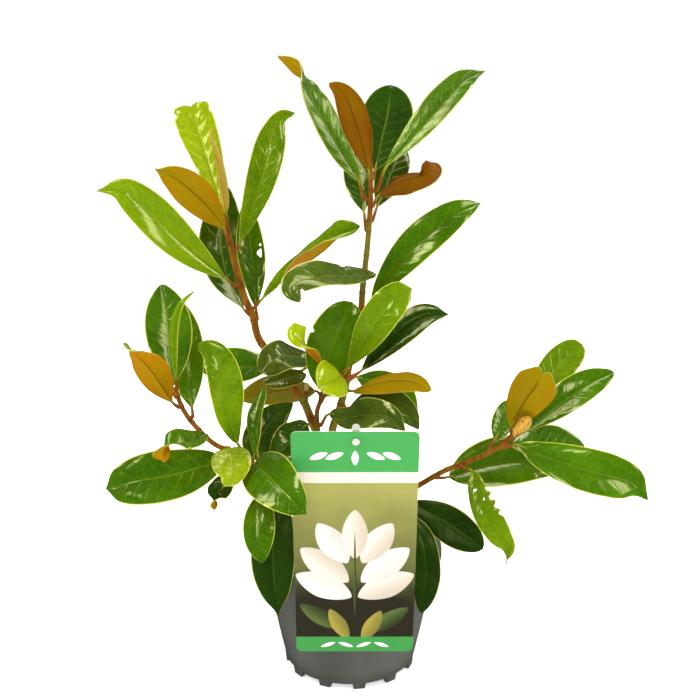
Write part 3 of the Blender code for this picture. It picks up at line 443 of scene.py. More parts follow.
      (506, 564, -70)),
     13, (30, 26, 12, 14, 24, 120), 16, 1.0, "light"),
    ("right_g", "right", (434, 476),
     ((449, 477, -12), (474, 469, 6), (500, 463, 20), (530, 461, 32), (560, 468, 40)),
     26, (-12, -12, -10), 18, 1.0, "dark"),
    ("right_h", "right", (489, 452),
     ((495, 440, -22), (500, 428, -12), (508, 413, 0), (518, 401, 12)),
     12, (10, 10, 10), 12, 0.6, "mid"),
)

# Dry curled twigs on the low branch, in the same form as the short shoots
TWIGS = {
    "twig_a": (((182, 419, -57), (187, 424, -60), (191, 429, -62), (190, 434, -63)), 0.7, 0.4),
    "twig_b": (((195, 421, -58), (202, 420, -60), (207, 422, -61), (208, 427, -61)), 0.8, 0.4),
    "side_spur": (((322, 398, -3), (327, 396, -5), (332, 397, -7)), 1.2, 0.6),
}

# Where the older wood is still green: a place in the front view and how far round it, in mm
GREEN_WOOD = (((307, 404, 8), 13), ((343, 396, -3), 20), ((332, 440, -2), 26), ((345, 520, -2), 30),
              ((367, 246, 2), 30), ((364, 280, 1), 26))

# Leaves whose outline differs from the usual one: how full it is towards the base and the tip, as
# powers, where a smaller one is fuller
OUTLINES = {
    "right_a": (0.62, 0.40), "low_f": (0.50, 0.66), "low_g": (0.60, 0.48), "front_d": (0.9, 0.62),
    "front_e": (0.85, 0.66), "right_g": (0.65, 0.66), "left_c": (0.85, 0.20), "left_a": (0.95, 0.72),
    "centre_e": (0.85, 0.6), "low_h": (0.7, 0.6), "left_d": (0.5, 0.9), "top_b": (0.75, 0.84),
    "front_a": (0.55, 0.74), "low_a": (0.9, 0.72), "top_f": (0.75, 0.42), "back_c": (0.6, 0.42),
    "left_b": (0.90, 0.78), "left_e": (0.95, 0.68), "top_c": (1.0, 0.72), "top_d": (0.85, 0.55),
    "top_e": (0.95, 0.72), "low_e": (0.85, 0.62), "centre_f": (2.4, 0.75), "left_h": (0.95, 0.62),
    "centre_a": (0.70, 0.52), "centre_b": (0.95, 0.50), "right_b": (0.9, 0.42), "right_d": (0.7, 0.55),
    "right_h": (0.7, 0.6), "right_c": (0.85, 0.66), "right_e": (0.75, 0.62), "right_f": (0.66, 0.78),
    "top_a": (0.85, 0.70), "front_c": (0.62, 0.86), "back_f": (0.50, 0.80), "centre_d": (0.75, 0.64),
}

# Leaves with a drawn-out tip: how long it is, as a share of the leaf's length
TIPS = {"right_e": 0.13, "left_a": 0.09, "top_e": 0.08, "left_b": 0.06, "front_a": 0.05,
        "centre_c": 0.06, "top_i": 0.04, "low_g": 0.04, "front_c": 0.10, "right_f": 0.07,
        "centre_b": 0.04}
TIP_PINCH = 0.62

# Leaves that end bluntly: how much of their length is missing, and how deep the end is notched
BLUNT_ENDS = {"right_a": (0.05, 0.075), "left_c": (0.05, 0.02)}
NOTCH_HALF = 0.5

# Chewed edges: side (-1 or 1), share of the length, reach along it and depth, all as shares
BITES = {
    "left_c": ((1, 0.93, 0.03, 0.10), (-1, 0.95, 0.02, 0.12)),
    "right_f": ((-1, 0.22, 0.03, 0.22), (-1, 0.31, 0.03, 0.34), (-1, 0.40, 0.03, 0.30),
                (-1, 0.48, 0.025, 0.22)),
    "centre_a": ((-1, 0.62, 0.025, 0.13),),
    "top_a": ((1, 0.3, 0.03, 0.14),),
}

# Insect holes: place across (-1 to 1), share of the length, and the two half sizes as shares
HOLES = {
    "left_g": ((0.60, 0.50, 0.18, 0.038), (0.72, 0.575, 0.10, 0.014)),
    "right_f": ((-0.3, 0.30, 0.14, 0.014), (0.25, 0.19, 0.16, 0.012)),
}
HOLE_RAGGED = 0.22
HOLE_RIM_REACH = 2.2

# Leaves whose side veins are sunk deeper than usual
PUFFS = {"left_c": 0.7 * MM, "top_b": 0.45 * MM, "right_f": 0.6 * MM, "top_e": 0.4 * MM,
         "top_i": 0.3 * MM}

# How light each leaf is within its kind, where it isn't middling (0 to 1)
SHADES = {
    "left_a": 0.7, "left_c": 0.45, "left_e": 0.15, "left_h": 0.2, "centre_b": 0.35, "low_e": 0.15,
    "right_f": 0.25, "low_c": 0.5, "low_f": 0.3, "centre_e": 0.8, "right_e": 0.6, "front_a": 0.35,
    "low_g": 0.2, "centre_a": 0.55, "top_i": 0.45, "low_a": 0.4, "right_b": 0.4, "right_c": 0.5,
    "right_d": 0.2, "right_g": 0.3, "back_a": 0.2, "top_b": 0.6, "top_e": 0.6, "left_f": 0.6,
    "front_c": 0.85,
}

# How orange each felted underside is, where it isn't middling (0 olive gold to 1 orange brown)
FELTS = {"left_b": 0.25, "top_c": 0.6, "top_f": 0.8, "centre_d": 0.2, "low_d": 0.65, "right_a": 0.1}

# Leaves whose upper side or felt is of another kind than their colour says
# The deep top of the three low front leaves is darker partly for their own colour and partly as painted
# shade.
OTHER_TOPS = {
    "left_d": "young", "right_d": "mid", "right_g": "mid", "back_a": "mid", "back_d": "olive",
    "front_c": "deep", "front_d": "deep", "front_e": "deep", "left_e": "light",
    "right_b": "light", "top_b": "satin", "top_e": "satin",
}
OTHER_FELTS = {"left_d": "young", "back_b": "olive", "top_c": "brown", "top_f": "brown"}

# Tints of the leaves' gloss and of their down
GLOSS_TINT = (1.0, 0.95, 0.42, 1.0)
FELT_SHEEN = (1.0, 0.70, 0.08, 1.0)
WHITE = (1, 1, 1, 1)

# Stage: the camera's sensor, the floor with its glow, and the surrounding
SENSOR = 36.0
FLOOR_SIZE = 9.0
FLOOR_DROP = 0.2 * MM
GLOW_NEAR = 0.55
GLOW_FAR = 1.05
GLOW_FROM = 0.12
GLOW_FULL = 0.45
SURROUNDING_SEEN = 1.05
SURROUNDING_BELOW = 0.04
SURROUNDING_ABOVE = 0.16
SURROUNDING_SLOPE = (-0.3, 0.9)

# Lights: name, width, height, power in watts, place, and whether gloss mirrors it
LIGHTS = (
    ("front fill", 3.0, 3.0, 15, (0.0, -3.2, 1.7), False),
    ("top fill", 3.0, 3.0, 15, (0.0, 0.2, 3.2), False),
    ("back fill", 2.0, 2.0, 18, (0.0, 2.6, 1.6), False),
    ("left key", 0.50, 1.0, 16, (-1.25, -0.81, 1.69), True),
    ("left high key", 0.80, 0.65, 12, (-1.23, 0.06, 1.93), True),
    ("front key", 0.50, 0.36, 5, (-0.27, -1.74, 1.20), True),
    ("right key", 0.50, 1.5, 16, (1.57, -0.84, 1.21), True),
    ("right low key", 0.85, 0.65, 12, (1.85, 0.50, 0.94), True),
    ("top key", 1.8, 0.9, 25, (0.1, 0.75, 2.0), True),
)
LIGHT_TARGET = (0, 0, 0.3)


# Helpers for shapes


def sight(view_x, view_y, depth):
    """The point seen at (view x, view y) that lies depth millimetres behind the pot's axis."""
    across = (view_x - VIEW_MIDDLE) / EYE_SCALE
    up = (VIEW_MIDDLE - view_y) / EYE_SCALE
    forward = cos(EYE_PITCH) + up * sin(EYE_PITCH)
    rise = up * cos(EYE_PITCH) - sin(EYE_PITCH)
    reach = (depth * MM - EYE.y) / forward
    return Vector((EYE.x + reach * across, depth * MM, EYE.z + reach * rise))


def view_of(point):
    """Where a point is seen in the front view."""
    away = point - EYE
    depth = away.y * cos(EYE_PITCH) - away.z * sin(EYE_PITCH)
    up = away.y * sin(EYE_PITCH) + away.z * cos(EYE_PITCH)
    return Vector((VIEW_MIDDLE + EYE_SCALE * away.x / depth, VIEW_MIDDLE - EYE_SCALE * up / depth))


def smooth_curve(knots):
    """Points along a smooth curve through the knots."""
    points = []
    padded = [2 * knots[0] - knots[1]] + list(knots) + [2 * knots[-1] - knots[-2]]
    for before, start, end, after in zip(padded, padded[1:], padded[2:], padded[3:]):
        span = (end - start).length
        slope_in = (end - before) * (span / max((end - before).length, span))
        slope_out = (after - start) * (span / max((after - start).length, span))
        for step in range(CURVE_STEPS):
            t = step / CURVE_STEPS
            points.append(start * (2 * t**3 - 3 * t**2 + 1) + slope_in * (t**3 - 2 * t**2 + t)
                          + end * (3 * t**2 - 2 * t**3) + slope_out * (t**3 - t**2))
    points.append(knots[-1].copy())
    return points


class Route:
    """A smooth curve through knots, measured along its length."""

    def __init__(self, knots):
        self.points = smooth_curve(knots)
        self.lengths = [0.0]
        for before, after in zip(self.points, self.points[1:]):
            self.lengths.append(self.lengths[-1] + (after - before).length)
        self.total = self.lengths[-1]

    def at(self, wanted):
        """The point and the direction at a length along the curve."""
        wanted = min(max(wanted, 0.0), self.total)
        last = len(self.points) - 2
        index = next((i for i in range(last + 1) if self.lengths[i + 1] >= wanted), last)
        span = self.lengths[index + 1] - self.lengths[index]
        share = (wanted - self.lengths[index]) / span if span else 0.0
        spot = self.points[index].lerp(self.points[index + 1], share)
        ahead = self.points[min(index + 2, last + 1)] - self.points[max(index - 1, 0)]
        return spot, ahead.normalized()


def step_up(value, low, high):
    """0 below low, 1 above high and a smooth rise between them."""
    share = min(max((value - low) / (high - low), 0.0), 1.0)
    return share * share * (3 - 2 * share)


def between(values, share):
    """The value at a share of the way along evenly spaced values."""
    place = share * (len(values) - 1)
    index = min(int(place), len(values) - 2)
    return values[index] + (values[index + 1] - values[index]) * (place - index)


# Helpers for modelling with Blender's operators


def deselect():
    """Nothing is selected when a new piece is begun."""
    bpy.ops.object.select_all(action="DESELECT")


def choose(item, *others):
    """Selects the item, as the active one, and the others with it."""
    deselect()
    for piece in (item, *others):
        piece.select_set(True)
    bpy.context.view_layer.objects.active = item


def named(name):
    item = bpy.context.active_object
    item.name = name
    item.data.name = name
    return item


def settle(item):
    """Puts the object's place into its mesh, so that the object stands at the origin."""
    choose(item)
    bpy.ops.object.transform_apply(location=True, rotation=True, scale=True)


def place_at(item, matrix):
    item.matrix_world = matrix
    bpy.context.view_layer.update()
    settle(item)


def finish_modifier(item, kind, **settings):
    """Adds a modifier with its settings and applies it."""
    choose(item)
    modifier = item.modifiers.new(kind.title(), kind)
    for key, value in settings.items():
        setattr(modifier, key, value)
    bpy.ops.object.modifier_apply(modifier=modifier.name)


def edit_all(item, operator, **settings):
    """Runs one of Blender's edit-mode operators on the whole mesh."""
    choose(item)
    bpy.ops.object.mode_set(mode="EDIT")
    bpy.ops.mesh.select_all(action="SELECT")
    operator(**settings)
    bpy.ops.object.mode_set(mode="OBJECT")


def face_out(item):
    edit_all(item, bpy.ops.mesh.normals_make_consistent, inside=False)


def round_edges(item, width, segments, degrees=60):
    """Rounds the edges that are sharper than the angle."""
    finish_modifier(item, "BEVEL", width=width, segments=segments, limit_method="ANGLE",
                    angle_limit=radians(degrees))


def smooth(item):
    choose(item)
    bpy.ops.object.shade_smooth()


def smooth_by_angle(item, degrees):
    choose(item)
    bpy.ops.object.shade_smooth_by_angle(angle=radians(degrees))


def join(item, *others):
    choose(item, *others)
    bpy.ops.object.join()
    return item


def wear(item, *finishes):
    """Gives the piece its finishes, in the order of its material slots."""
    item.data.materials.clear()
    for finish in finishes:
        item.data.materials.append(finish)


def paint(item, label, values):
    """Gives every vertex a value that a finish reads by its label."""
    layer = item.data.attributes.new(label, "FLOAT", "POINT")
    layer.data.foreach_set("value", values)


def stand_for(item, node):
    """The piece rides on the plant's one body and, where a node is named, stands for that plain solid.
    """
    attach(item, "root")
    if node:
        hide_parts(node)
    return item


def select_faces(item, chosen):
    """Selects, in edit mode, only the faces whose centre passes the test."""
    choose(item)
    bpy.ops.object.mode_set(mode="EDIT")
    bpy.ops.mesh.select_mode(type="FACE")
    bpy.ops.mesh.select_all(action="DESELECT")
    bpy.ops.object.mode_set(mode="OBJECT")
    for face in item.data.polygons:
        face.select = bool(chosen(face.center))
    bpy.ops.object.mode_set(mode="EDIT")


def tube(name, points, radii, quarter_sides=4):
    """A closed round rod along the points, thick as the radii say."""
    deselect()
    bpy.ops.curve.primitive_bezier_curve_add()
    item = named(name)
    curve = item.data
    curve.splines.clear()
    spline = curve.splines.new("POLY")
    spline.points.add(len(points) - 1)
    for knot, point, radius in zip(spline.points, points, radii):
        knot.co = (*point, 1.0)
        knot.radius = radius / MM
    curve.dimensions = "3D"
    curve.bevel_depth = MM
    curve.bevel_resolution = quarter_sides - 2
    curve.use_fill_caps = True
    item.location = (0, 0, 0)
    bpy.ops.object.convert(target="MESH")
    item = bpy.context.active_object
    face_out(item)
    return item


# Helpers for finishes


def tint(code):
    """A colour from its six-digit code, as the light-linear values that a shader takes."""
    parts = [int(code[i:i + 2], 16) / 255 for i in (0, 2, 4)]
    return tuple(p / 12.92 if p <= 0.04045 else ((p + 0.055) / 1.055) ** 2.4 for p in parts) + (1.0,)


class Finish:
    """One procedural material, put together node by node."""

    def __init__(self, name, colour, **sockets):
        self.material = bpy.data.materials.new(name)
        self.material.use_nodes = True
        self.tree = self.material.node_tree
        self.shader = self.tree.nodes["Principled BSDF"]
        self.shader.inputs["Base Color"].default_value = tint(colour)
        for socket, value in sockets.items():
            self.shader.inputs[socket.replace("_", " ")].default_value = value

    def feed(self, socket, value):
        """Puts a value, a colour or another node's output on a socket."""
        if isinstance(value, bpy.types.NodeSocket):
            self.tree.links.new(value, socket)
        elif isinstance(value, str):
            socket.default_value = tint(value)
        else:
            socket.default_value = value

    def number(self, operation, *values):
        node = self.tree.nodes.new("ShaderNodeMath")
        node.operation = operation
        for socket, value in zip(node.inputs, values):
            self.feed(socket, value)
        return node.outputs[0]

    def blend(self, share, first, second):
        """The first colour, turning into the second as the share goes from 0 to 1."""
        node = self.tree.nodes.new("ShaderNodeMix")
        node.data_type = "RGBA"
        self.feed(node.inputs[0], share)
        self.feed(node.inputs[6], first)
        self.feed(node.inputs[7], second)
        return node.outputs[2]

    def tinge(self, colour, other, share, weight):
        """Turns the colour towards another by a share times a weight."""
        return self.blend(self.number("MULTIPLY", share, weight), colour, other)

    def sway(self, pattern, width, middle):
        """A pattern from 0 to 1, stretched to a width about a middle value."""
        return self.number("MULTIPLY_ADD", self.number("SUBTRACT", pattern, 0.5), width, middle)

    def rise(self, value, low, high):
        """0 below low, 1 above high and a smooth rise between them."""
        node = self.tree.nodes.new("ShaderNodeMapRange")
        node.interpolation_type = "SMOOTHSTEP"
        self.feed(node.inputs["Value"], value)
        node.inputs["From Min"].default_value = low
        node.inputs["From Max"].default_value = high
        return node.outputs[0]

    def place(self, kind="Object", scale=(1, 1, 1)):
        """Object coordinates in metres, or UV, stretched by a scale."""
        source = self.tree.nodes.new("ShaderNodeTexCoord").outputs[kind]
        if scale == (1, 1, 1):
            return source
        node = self.tree.nodes.new("ShaderNodeMapping")
        self.feed(node.inputs["Vector"], source)
        node.inputs["Scale"].default_value = scale
        return node.outputs[0]

    def parts(self, vector):
        node = self.tree.nodes.new("ShaderNodeSeparateXYZ")
        self.feed(node.inputs[0], vector)
        return node.outputs[0], node.outputs[1], node.outputs[2]

    def noise(self, scale, detail=3.0, where=None, rough=0.5):
        node = self.tree.nodes.new("ShaderNodeTexNoise")
        node.inputs["Scale"].default_value = scale
        node.inputs["Detail"].default_value = detail
        node.inputs["Roughness"].default_value = rough
        self.feed(node.inputs["Vector"], where or self.place())
        return node.outputs[0]

    def cells(self, scale, where=None):
        node = self.tree.nodes.new("ShaderNodeTexVoronoi")
        node.inputs["Scale"].default_value = scale
        self.feed(node.inputs["Vector"], where or self.place())
        return node.outputs["Distance"]

    def attribute(self, name):
        node = self.tree.nodes.new("ShaderNodeAttribute")
        node.attribute_name = name
        return node.outputs["Fac"]

    def colour(self, value):
        self.feed(self.shader.inputs["Base Color"], value)

    def roughness(self, value):
        self.feed(self.shader.inputs["Roughness"], value)

    def relief(self, height, depth, strength=1.0):
        """Bumps of a depth in metres, laid over those that are there already."""
        node = self.tree.nodes.new("ShaderNodeBump")
        node.inputs["Strength"].default_value = strength
        node.inputs["Distance"].default_value = depth
        self.feed(node.inputs["Height"], height)
        socket = self.shader.inputs["Normal"]
        if socket.links:
            self.feed(node.inputs["Normal"], socket.links[0].from_socket)
        self.feed(socket, node.outputs[0])


# Finishes


def leaf_map(finish):
    """For a leaf's UV map: how far out from the midrib (0 to 1), how much on a side vein (0 to 1),
    and how much on the midrib (0 to 1). Both fade towards the tip."""
    across, along, _ = finish.parts(finish.place("UV"))
    signed = finish.number("MULTIPLY_ADD", across, 2.0, -1.0)
    out = finish.number("ABSOLUTE", signed)
    left = finish.number("LESS_THAN", signed, 0.0)
    phase = finish.number("MULTIPLY", along, float(VEIN_PAIRS))
    phase = finish.number("SUBTRACT", phase, finish.number("MULTIPLY", out, VEIN_SLANT))
    phase = finish.number("MULTIPLY_ADD", left, VEIN_SHIFT, phase)
    phase = finish.number("MULTIPLY_ADD", finish.noise(60.0, 2.0), 0.5, phase)
    to_tip = finish.rise(along, 0.98, 0.72)
    vein = finish.rise(finish.number("PINGPONG", phase, 0.5), 0.055, 0.0)
    vein = finish.number("MULTIPLY", vein, finish.rise(out, 1.0, 0.6))
    vein = finish.number("MULTIPLY", vein, to_tip)
    rib = finish.number("MULTIPLY", finish.rise(out, 0.05, 0.025), to_tip)
    return out, vein, rib


def leaf_top(name, dark, light, rib_colour, margin_and_rim_light, rib_share, gloss=0.70, rough=0.14):
    """The waxy upper side: mottled green with faint side veins, a paler midrib and a thin yellow
    edge, which is the leaf's pale margin brightened as a painted rim light, glossy, with the veins
    slightly sunk."""
    finish = Finish(name, dark, Roughness=rough, Specular_IOR_Level=gloss, Specular_Tint=GLOSS_TINT)
    out, vein, rib = leaf_map(finish)
    mottle = finish.sway(finish.noise(26.0, 4.0), 1.7, finish.attribute("shade"))
    net = finish.rise(finish.cells(260.0), 0.35, 0.75)
    mottle = finish.number("MULTIPLY_ADD", net, 0.22, mottle)
    colour = finish.blend(mottle, dark, light)
    colour = finish.tinge(colour, rib_colour, vein, 0.24)
    colour = finish.tinge(colour, light, finish.rise(out, 0.30, 0.0), 0.16)
    colour = finish.tinge(colour, rib_colour, rib, rib_share)
    # The thin yellow edge band: the leaf's pale margin, brightened as a painted rim light.
    finish.colour(finish.blend(finish.rise(out, 0.935, 0.975), colour, margin_and_rim_light))
    finish.relief(finish.noise(240.0, 3.0), 0.05 * MM, 0.25)
    sunk = finish.number("SUBTRACT", 1.0, finish.number("MAXIMUM", vein, rib))
    finish.relief(sunk, 0.12 * MM, 0.6)
    return finish.material


def leaf_felt(name, olive, orange, rib_colour):
    """The felted underside: golden olive to orange brown, matt, with a raised darker midrib."""
    finish = Finish(name, olive, Roughness=0.70, Specular_IOR_Level=0.08, Specular_Tint=FELT_SHEEN,
                    Sheen_Weight=0.06, Sheen_Roughness=0.5, Sheen_Tint=FELT_SHEEN)
    out, vein, rib = leaf_map(finish)
    patch = finish.sway(finish.noise(30.0, 3.0), 1.2, finish.attribute("felt"))
    patch = finish.number("MULTIPLY_ADD", finish.rise(out, 0.45, 1.0), 0.30, patch)
    colour = finish.blend(patch, olive, orange)
    fuzz = finish.rise(finish.noise(900.0, 2.0), 0.45, 0.75)
    for share, weight in ((fuzz, 0.06), (vein, 0.22), (rib, 0.75)):
        colour = finish.tinge(colour, rib_colour, share, weight)
    finish.colour(colour)
    finish.relief(finish.noise(600.0, 2.0), 0.02 * MM, 0.3)
    finish.relief(finish.number("MAXIMUM", vein, rib), 0.25 * MM, 0.6)
    return finish.material


def leaf_edge():
    """The blade's thin yellow rim."""
    finish = Finish("leaf edge", "b0ac28", Roughness=0.45)
    finish.colour(finish.blend(finish.noise(90.0), "b0ac28", "8a8a20"))
    return finish.material


def leaf_stalk():
    """Leaf stalks: reddish brown at the stem and yellow green at the blade, with a fine down."""
    finish = Finish("leaf stalk", "7d5a14", Roughness=0.6, Specular_IOR_Level=0.3,
                    Specular_Tint=GLOSS_TINT)
    brown = finish.number("MULTIPLY_ADD", finish.noise(70.0, 3.0), 0.5, finish.attribute("brown"))
    colour = finish.blend(finish.rise(brown, 0.35, 0.95), "8c9418", "84460c")
    finish.colour(finish.blend(finish.rise(finish.noise(500.0), 0.5, 0.8), colour, "5c3208"))
    finish.relief(finish.noise(800.0, 2.0), 0.08 * MM)
    return finish.material


def young_bark():
    """Reddish brown young bark, olive green low on the older wood, with pale breathing spots."""
    finish = Finish("young bark", "7a4510", Roughness=0.62, Specular_IOR_Level=0.2,
                    Specular_Tint=GLOSS_TINT)
    where = finish.place(scale=(1.0, 1.0, 0.35))
    streak = finish.noise(160.0, 4.0, where, 0.6)
    colour = finish.blend(finish.rise(streak, 0.3, 0.7), "663604", "946010")
    colour = finish.tinge(colour, "6c6a1c", finish.attribute("green"), 0.85)
    colour = finish.tinge(colour, "a87830", finish.rise(finish.cells(330.0, where), 0.20, 0.08), 0.35)
    colour = finish.tinge(colour, "4c2604", finish.attribute("ring"), 0.40)
    colour = finish.blend(finish.attribute("cut"), colour, "c49a62")
    finish.colour(colour)
    finish.relief(streak, 0.35 * MM, 0.7)
    finish.relief(finish.noise(900.0, 2.0), 0.06 * MM, 0.6)
    return finish.material


def furry_bud():
    """The bud scales: golden brown silky down."""
    finish = Finish("furry bud", "c8921c", Roughness=0.6, Sheen_Weight=0.1, Sheen_Roughness=0.4)
    hair = finish.noise(500.0, 3.0, finish.place(scale=(1.0, 1.0, 0.3)))
    finish.colour(finish.blend(finish.rise(hair, 0.3, 0.7), "a87010", "dcac34"))
    finish.relief(hair, 0.10 * MM, 0.5)
    return finish.material


def pot_plastic():
    """Matt grey moulded plastic, faintly grained, with dust and a few scuffs."""
    finish = Finish("pot plastic", "50514b", Roughness=0.55, Specular_IOR_Level=0.35)
    cloud = finish.noise(14.0, 4.0)
    colour = finish.blend(finish.rise(cloud, 0.3, 0.75), "4e504a", "606059")
    scuff = finish.noise(55.0, 5.0, finish.place(scale=(1.0, 1.0, 0.12)), 0.7)
    colour = finish.tinge(colour, "6e6c62", finish.rise(scuff, 0.56, 0.72), 0.35)
    # Darker towards the bottom.
    _, _, height = finish.parts(finish.place())
    finish.colour(finish.tinge(colour, "3e3f38", finish.rise(height, 22 * MM, 0.0), 0.4))
    finish.roughness(finish.number("MULTIPLY_ADD", cloud, 0.18, 0.44))
    finish.relief(finish.noise(1500.0, 2.0), 0.05 * MM, 0.6)
    finish.relief(scuff, 0.10 * MM, 0.4)
    return finish.material


def damp_soil():
    """Peat and fine bark, dark and crumbly."""
    finish = Finish("damp soil", "2a1c10", Roughness=0.95)
    crumb = finish.noise(260.0, 6.0, rough=0.7)
    finish.colour(finish.blend(finish.rise(crumb, 0.35, 0.7), "150d06", "4a3520"))
    finish.relief(crumb, 1.2 * MM)
    finish.relief(finish.cells(420.0), 0.6 * MM, 0.8)
    return finish.material


def bark_chip():
    """Chips of bark: brown outside, tan where they are broken."""
    finish = Finish("bark chip", "4c3018", Roughness=0.9)
    grain = finish.noise(340.0, 4.0, finish.place(scale=(1.0, 0.3, 1.0)), 0.6)
    colour = finish.blend(finish.rise(grain, 0.35, 0.7), "24150a", "6e4c2a")
    finish.colour(finish.blend(finish.rise(finish.noise(45.0), 0.56, 0.66), colour, "a9845a"))
    finish.relief(grain, 0.4 * MM)
    return finish.material


def stake_plastic():
    """Off-white moulded plastic, a little dusty."""
    finish = Finish("stake plastic", "e2dfd2", Roughness=0.38)
    finish.colour(finish.blend(finish.rise(finish.noise(40.0, 4.0), 0.4, 0.75), "d2d0c6", "b8b5a6"))
    finish.relief(finish.noise(700.0), 0.04 * MM, 0.5)
    return finish.material


def petal_mask(finish, across, up, petal):
    """1 inside one pointed oval of the label's print and 0 outside, and the distance across it."""
    spot_x, spot_z, half_wide, half_long, turn = petal
    x = finish.number("SUBTRACT", across, spot_x * MM)
    z = finish.number("SUBTRACT", up, spot_z * MM)
    reaches = []
    wide = turned(finish, x, z, cos(turn), sin(turn))
    long = turned(finish, x, z, -sin(turn), cos(turn))
    for distance, half, power in zip((wide, long), (half_wide, half_long), PETAL_POWERS):
        share = finish.number("ABSOLUTE", finish.number("DIVIDE", distance, half * MM))
        reaches.append(finish.number("POWER", share, power))
    return finish.rise(finish.number("ADD", *reaches), 1.04, 0.98), wide


def turned(finish, x, z, by_x, by_z):
    return finish.number("ADD", finish.number("MULTIPLY", x, by_x), finish.number("MULTIPLY", z, by_z))


def printed_card():
    """The care label's print: a green head and foot with rows of leaf marks, a cream strip, and
    between them a plain sprig on a ground that goes from dark brown up to gold. No words."""
    finish = Finish("printed card", "52b85c", Roughness=0.38, Specular_IOR_Level=0.25)
    across, up, _ = finish.parts(finish.place("UV"))
    across = finish.number("MULTIPLY_ADD", across, LABEL_WIDTH, -LABEL_WIDTH / 2)
    up = finish.number("MULTIPLY", up, LABEL_HEIGHT)
    height = finish.sway(finish.noise(24.0, 3.0), 50 * MM, up)
    colour = finish.blend(finish.rise(height, PICTURE_DARK, PICTURE_MIDDLE), "2e2a1c", "6a6c34")
    colour = finish.blend(finish.rise(height, PICTURE_MIDDLE, PICTURE_HIGH), colour, "a09e50")
    for petal, shade in SPRIG:
        mask, wide = petal_mask(finish, across, up, petal)
        first, second = SPRIG_COLOURS[shade]
        soft = finish.rise(finish.number("DIVIDE", wide, petal[2] * MM), -1.0, 1.0)
        colour = finish.blend(mask, colour, finish.blend(soft, first, second))
        line = finish.rise(finish.number("ABSOLUTE", wide), 0.45 * MM, 0.2 * MM)
        colour = finish.tinge(colour, second, finish.number("MULTIPLY", line, mask), 0.5)
    for edge, soft, tone in PRINT_BANDS:
        colour = finish.blend(finish.rise(up, edge - soft, edge + soft), colour, tone)
    for mark in CARD_MARKS:
        mask, _ = petal_mask(finish, across, up, mark)
        colour = finish.blend(mask, colour, "f2f4ec")
    finish.colour(colour)
    finish.relief(finish.noise(300.0, 2.0), 0.03 * MM, 0.4)
    return finish.material


def card_back():
    """The label's plain pale back and its cut edge."""
    finish = Finish("card back", "d9ded2", Roughness=0.6)
    finish.colour(finish.blend(finish.noise(200.0), "d9ded2", "b9c9b4"))
    return finish.material


# Leaves


def stem_route(name):
    """The middle line of a stem. The trunk's starts at its foot in the soil."""
    knots = [sight(*place) for place in STEMS[name][0]]
    if name == "top":
        knots.insert(0, Vector((0, 0, TRUNK_FOOT)))
    return Route(knots)


def stem_radii(name):
    """A stem's radius at its start and at its end."""
    _, start, end = STEMS[name]
    return (TRUNK_RADIUS if name == "top" else start * MM), end * MM


def stem_place(stem, view_x, view_y):
    """The middle, direction, radius and length along it of a stem seen at (view x, view y)."""
    route = stem_route(stem)
    wanted = Vector((view_x, view_y))
    nearest = min(range(len(route.points)), key=lambda i: (view_of(route.points[i]) - wanted).length)
    length = route.lengths[nearest]
    spot, ahead = route.at(length)
    start, end = stem_radii(stem)
    radius = start + (end - start) * length / route.total
    return spot, ahead, radius * (1 + STEM_SWELL), length


def outline(name, share):
    """Half width of a leaf along its length, as a share of its widest."""
    rise, fall = OUTLINES.get(name, OUTLINE)
    peak = rise / (rise + fall)
    widest = peak**rise * (1 - peak)**fall
    if name in BLUNT_ENDS:
        share *= 1 - BLUNT_ENDS[name][0]
    pinch = TIP_PINCH * exp(-((1 - share) / TIPS[name])**2) if name in TIPS else 0.0
    return (1 - pinch) * share**rise * (1 - share)**fall / widest


def faces_along(stations, middle):
    """The way the leaf's upper side faces at each station: to the front at the middle one, and
    turned from there only as far as the midrib bends."""
    spot, ahead = stations[middle]
    to_eye = (EYE - spot).normalized()
    faces = {middle: (to_eye - ahead * to_eye.dot(ahead)).normalized()}
    for step, stop in ((-1, -1), (1, len(stations))):
        for index in range(middle + step, stop, step):
            ahead = stations[index][1]
            last = faces[index - step]
            faces[index] = (last - ahead * last.dot(ahead)).normalized()
    return [faces[index] for index in range(len(stations))]


def bitten(name, place, share):
    """How much of the half width is left at a share of the length, where insects chewed it."""
    left = 1.0
    for side, spot, reach, depth in BITES.get(name, ()):
        if side * place > 0:
            left = min(left, 1 - depth * (1 - step_up(abs(share - spot), 0.55 * reach, reach)))
    return left


def notched(name, place, share):
    """How far the end of a blunt leaf is set back, as a share of the length."""
    notch = BLUNT_ENDS[name][1] if name in BLUNT_ENDS else 0.0
    dip = max(0.0, 1 - abs(place) / NOTCH_HALF)**1.5 + 1.2 * place**2
    return notch * dip * step_up(share, 0.7, 1.0)


def flat_blade(name, holes):
    """A flat grid with a UV map. Holes are cut in it and their rims are made round."""
    deselect()
    bpy.ops.mesh.primitive_grid_add(x_subdivisions=CELLS_ACROSS, y_subdivisions=CELLS_ALONG, size=2.0,
                                    calc_uvs=True, location=(0, 0, 0))
    item = named(name)
    for hole in holes:
        select_faces(item, lambda centre, hole=hole: from_hole(centre, hole) < 1)
        bpy.ops.mesh.delete(type="FACE")
        bpy.ops.object.mode_set(mode="OBJECT")
        round_rim(item, hole)
    return item


def from_hole(spot, hole):
    """How far a place on the flat grid is from a hole's middle: 1 is its ragged rim."""
    across, along, wide, long = hole
    x = (spot.x - across) / wide
    y = ((spot.y + 1) / 2 - along) / long
    return (x * x + y * y)**0.5 / (1 + HOLE_RAGGED * sin(3 * atan2(y, x) + 40 * across))


def round_rim(item, hole):
    """Moves the vertices round a cut hole onto its rim."""
    uses = {}
    for face in item.data.polygons:
        for key in face.edge_keys:
            uses[key] = uses.get(key, 0) + 1
    rim = {number for key, count in uses.items() if count == 1 for number in key}
    across, along, _, _ = hole
    middle = Vector((across, 2 * along - 1, 0))
    for number in rim:
        vertex = item.data.vertices[number]
        away = from_hole(vertex.co, hole)
        if away < HOLE_RIM_REACH:
            vertex.co = middle + (vertex.co - middle) / away


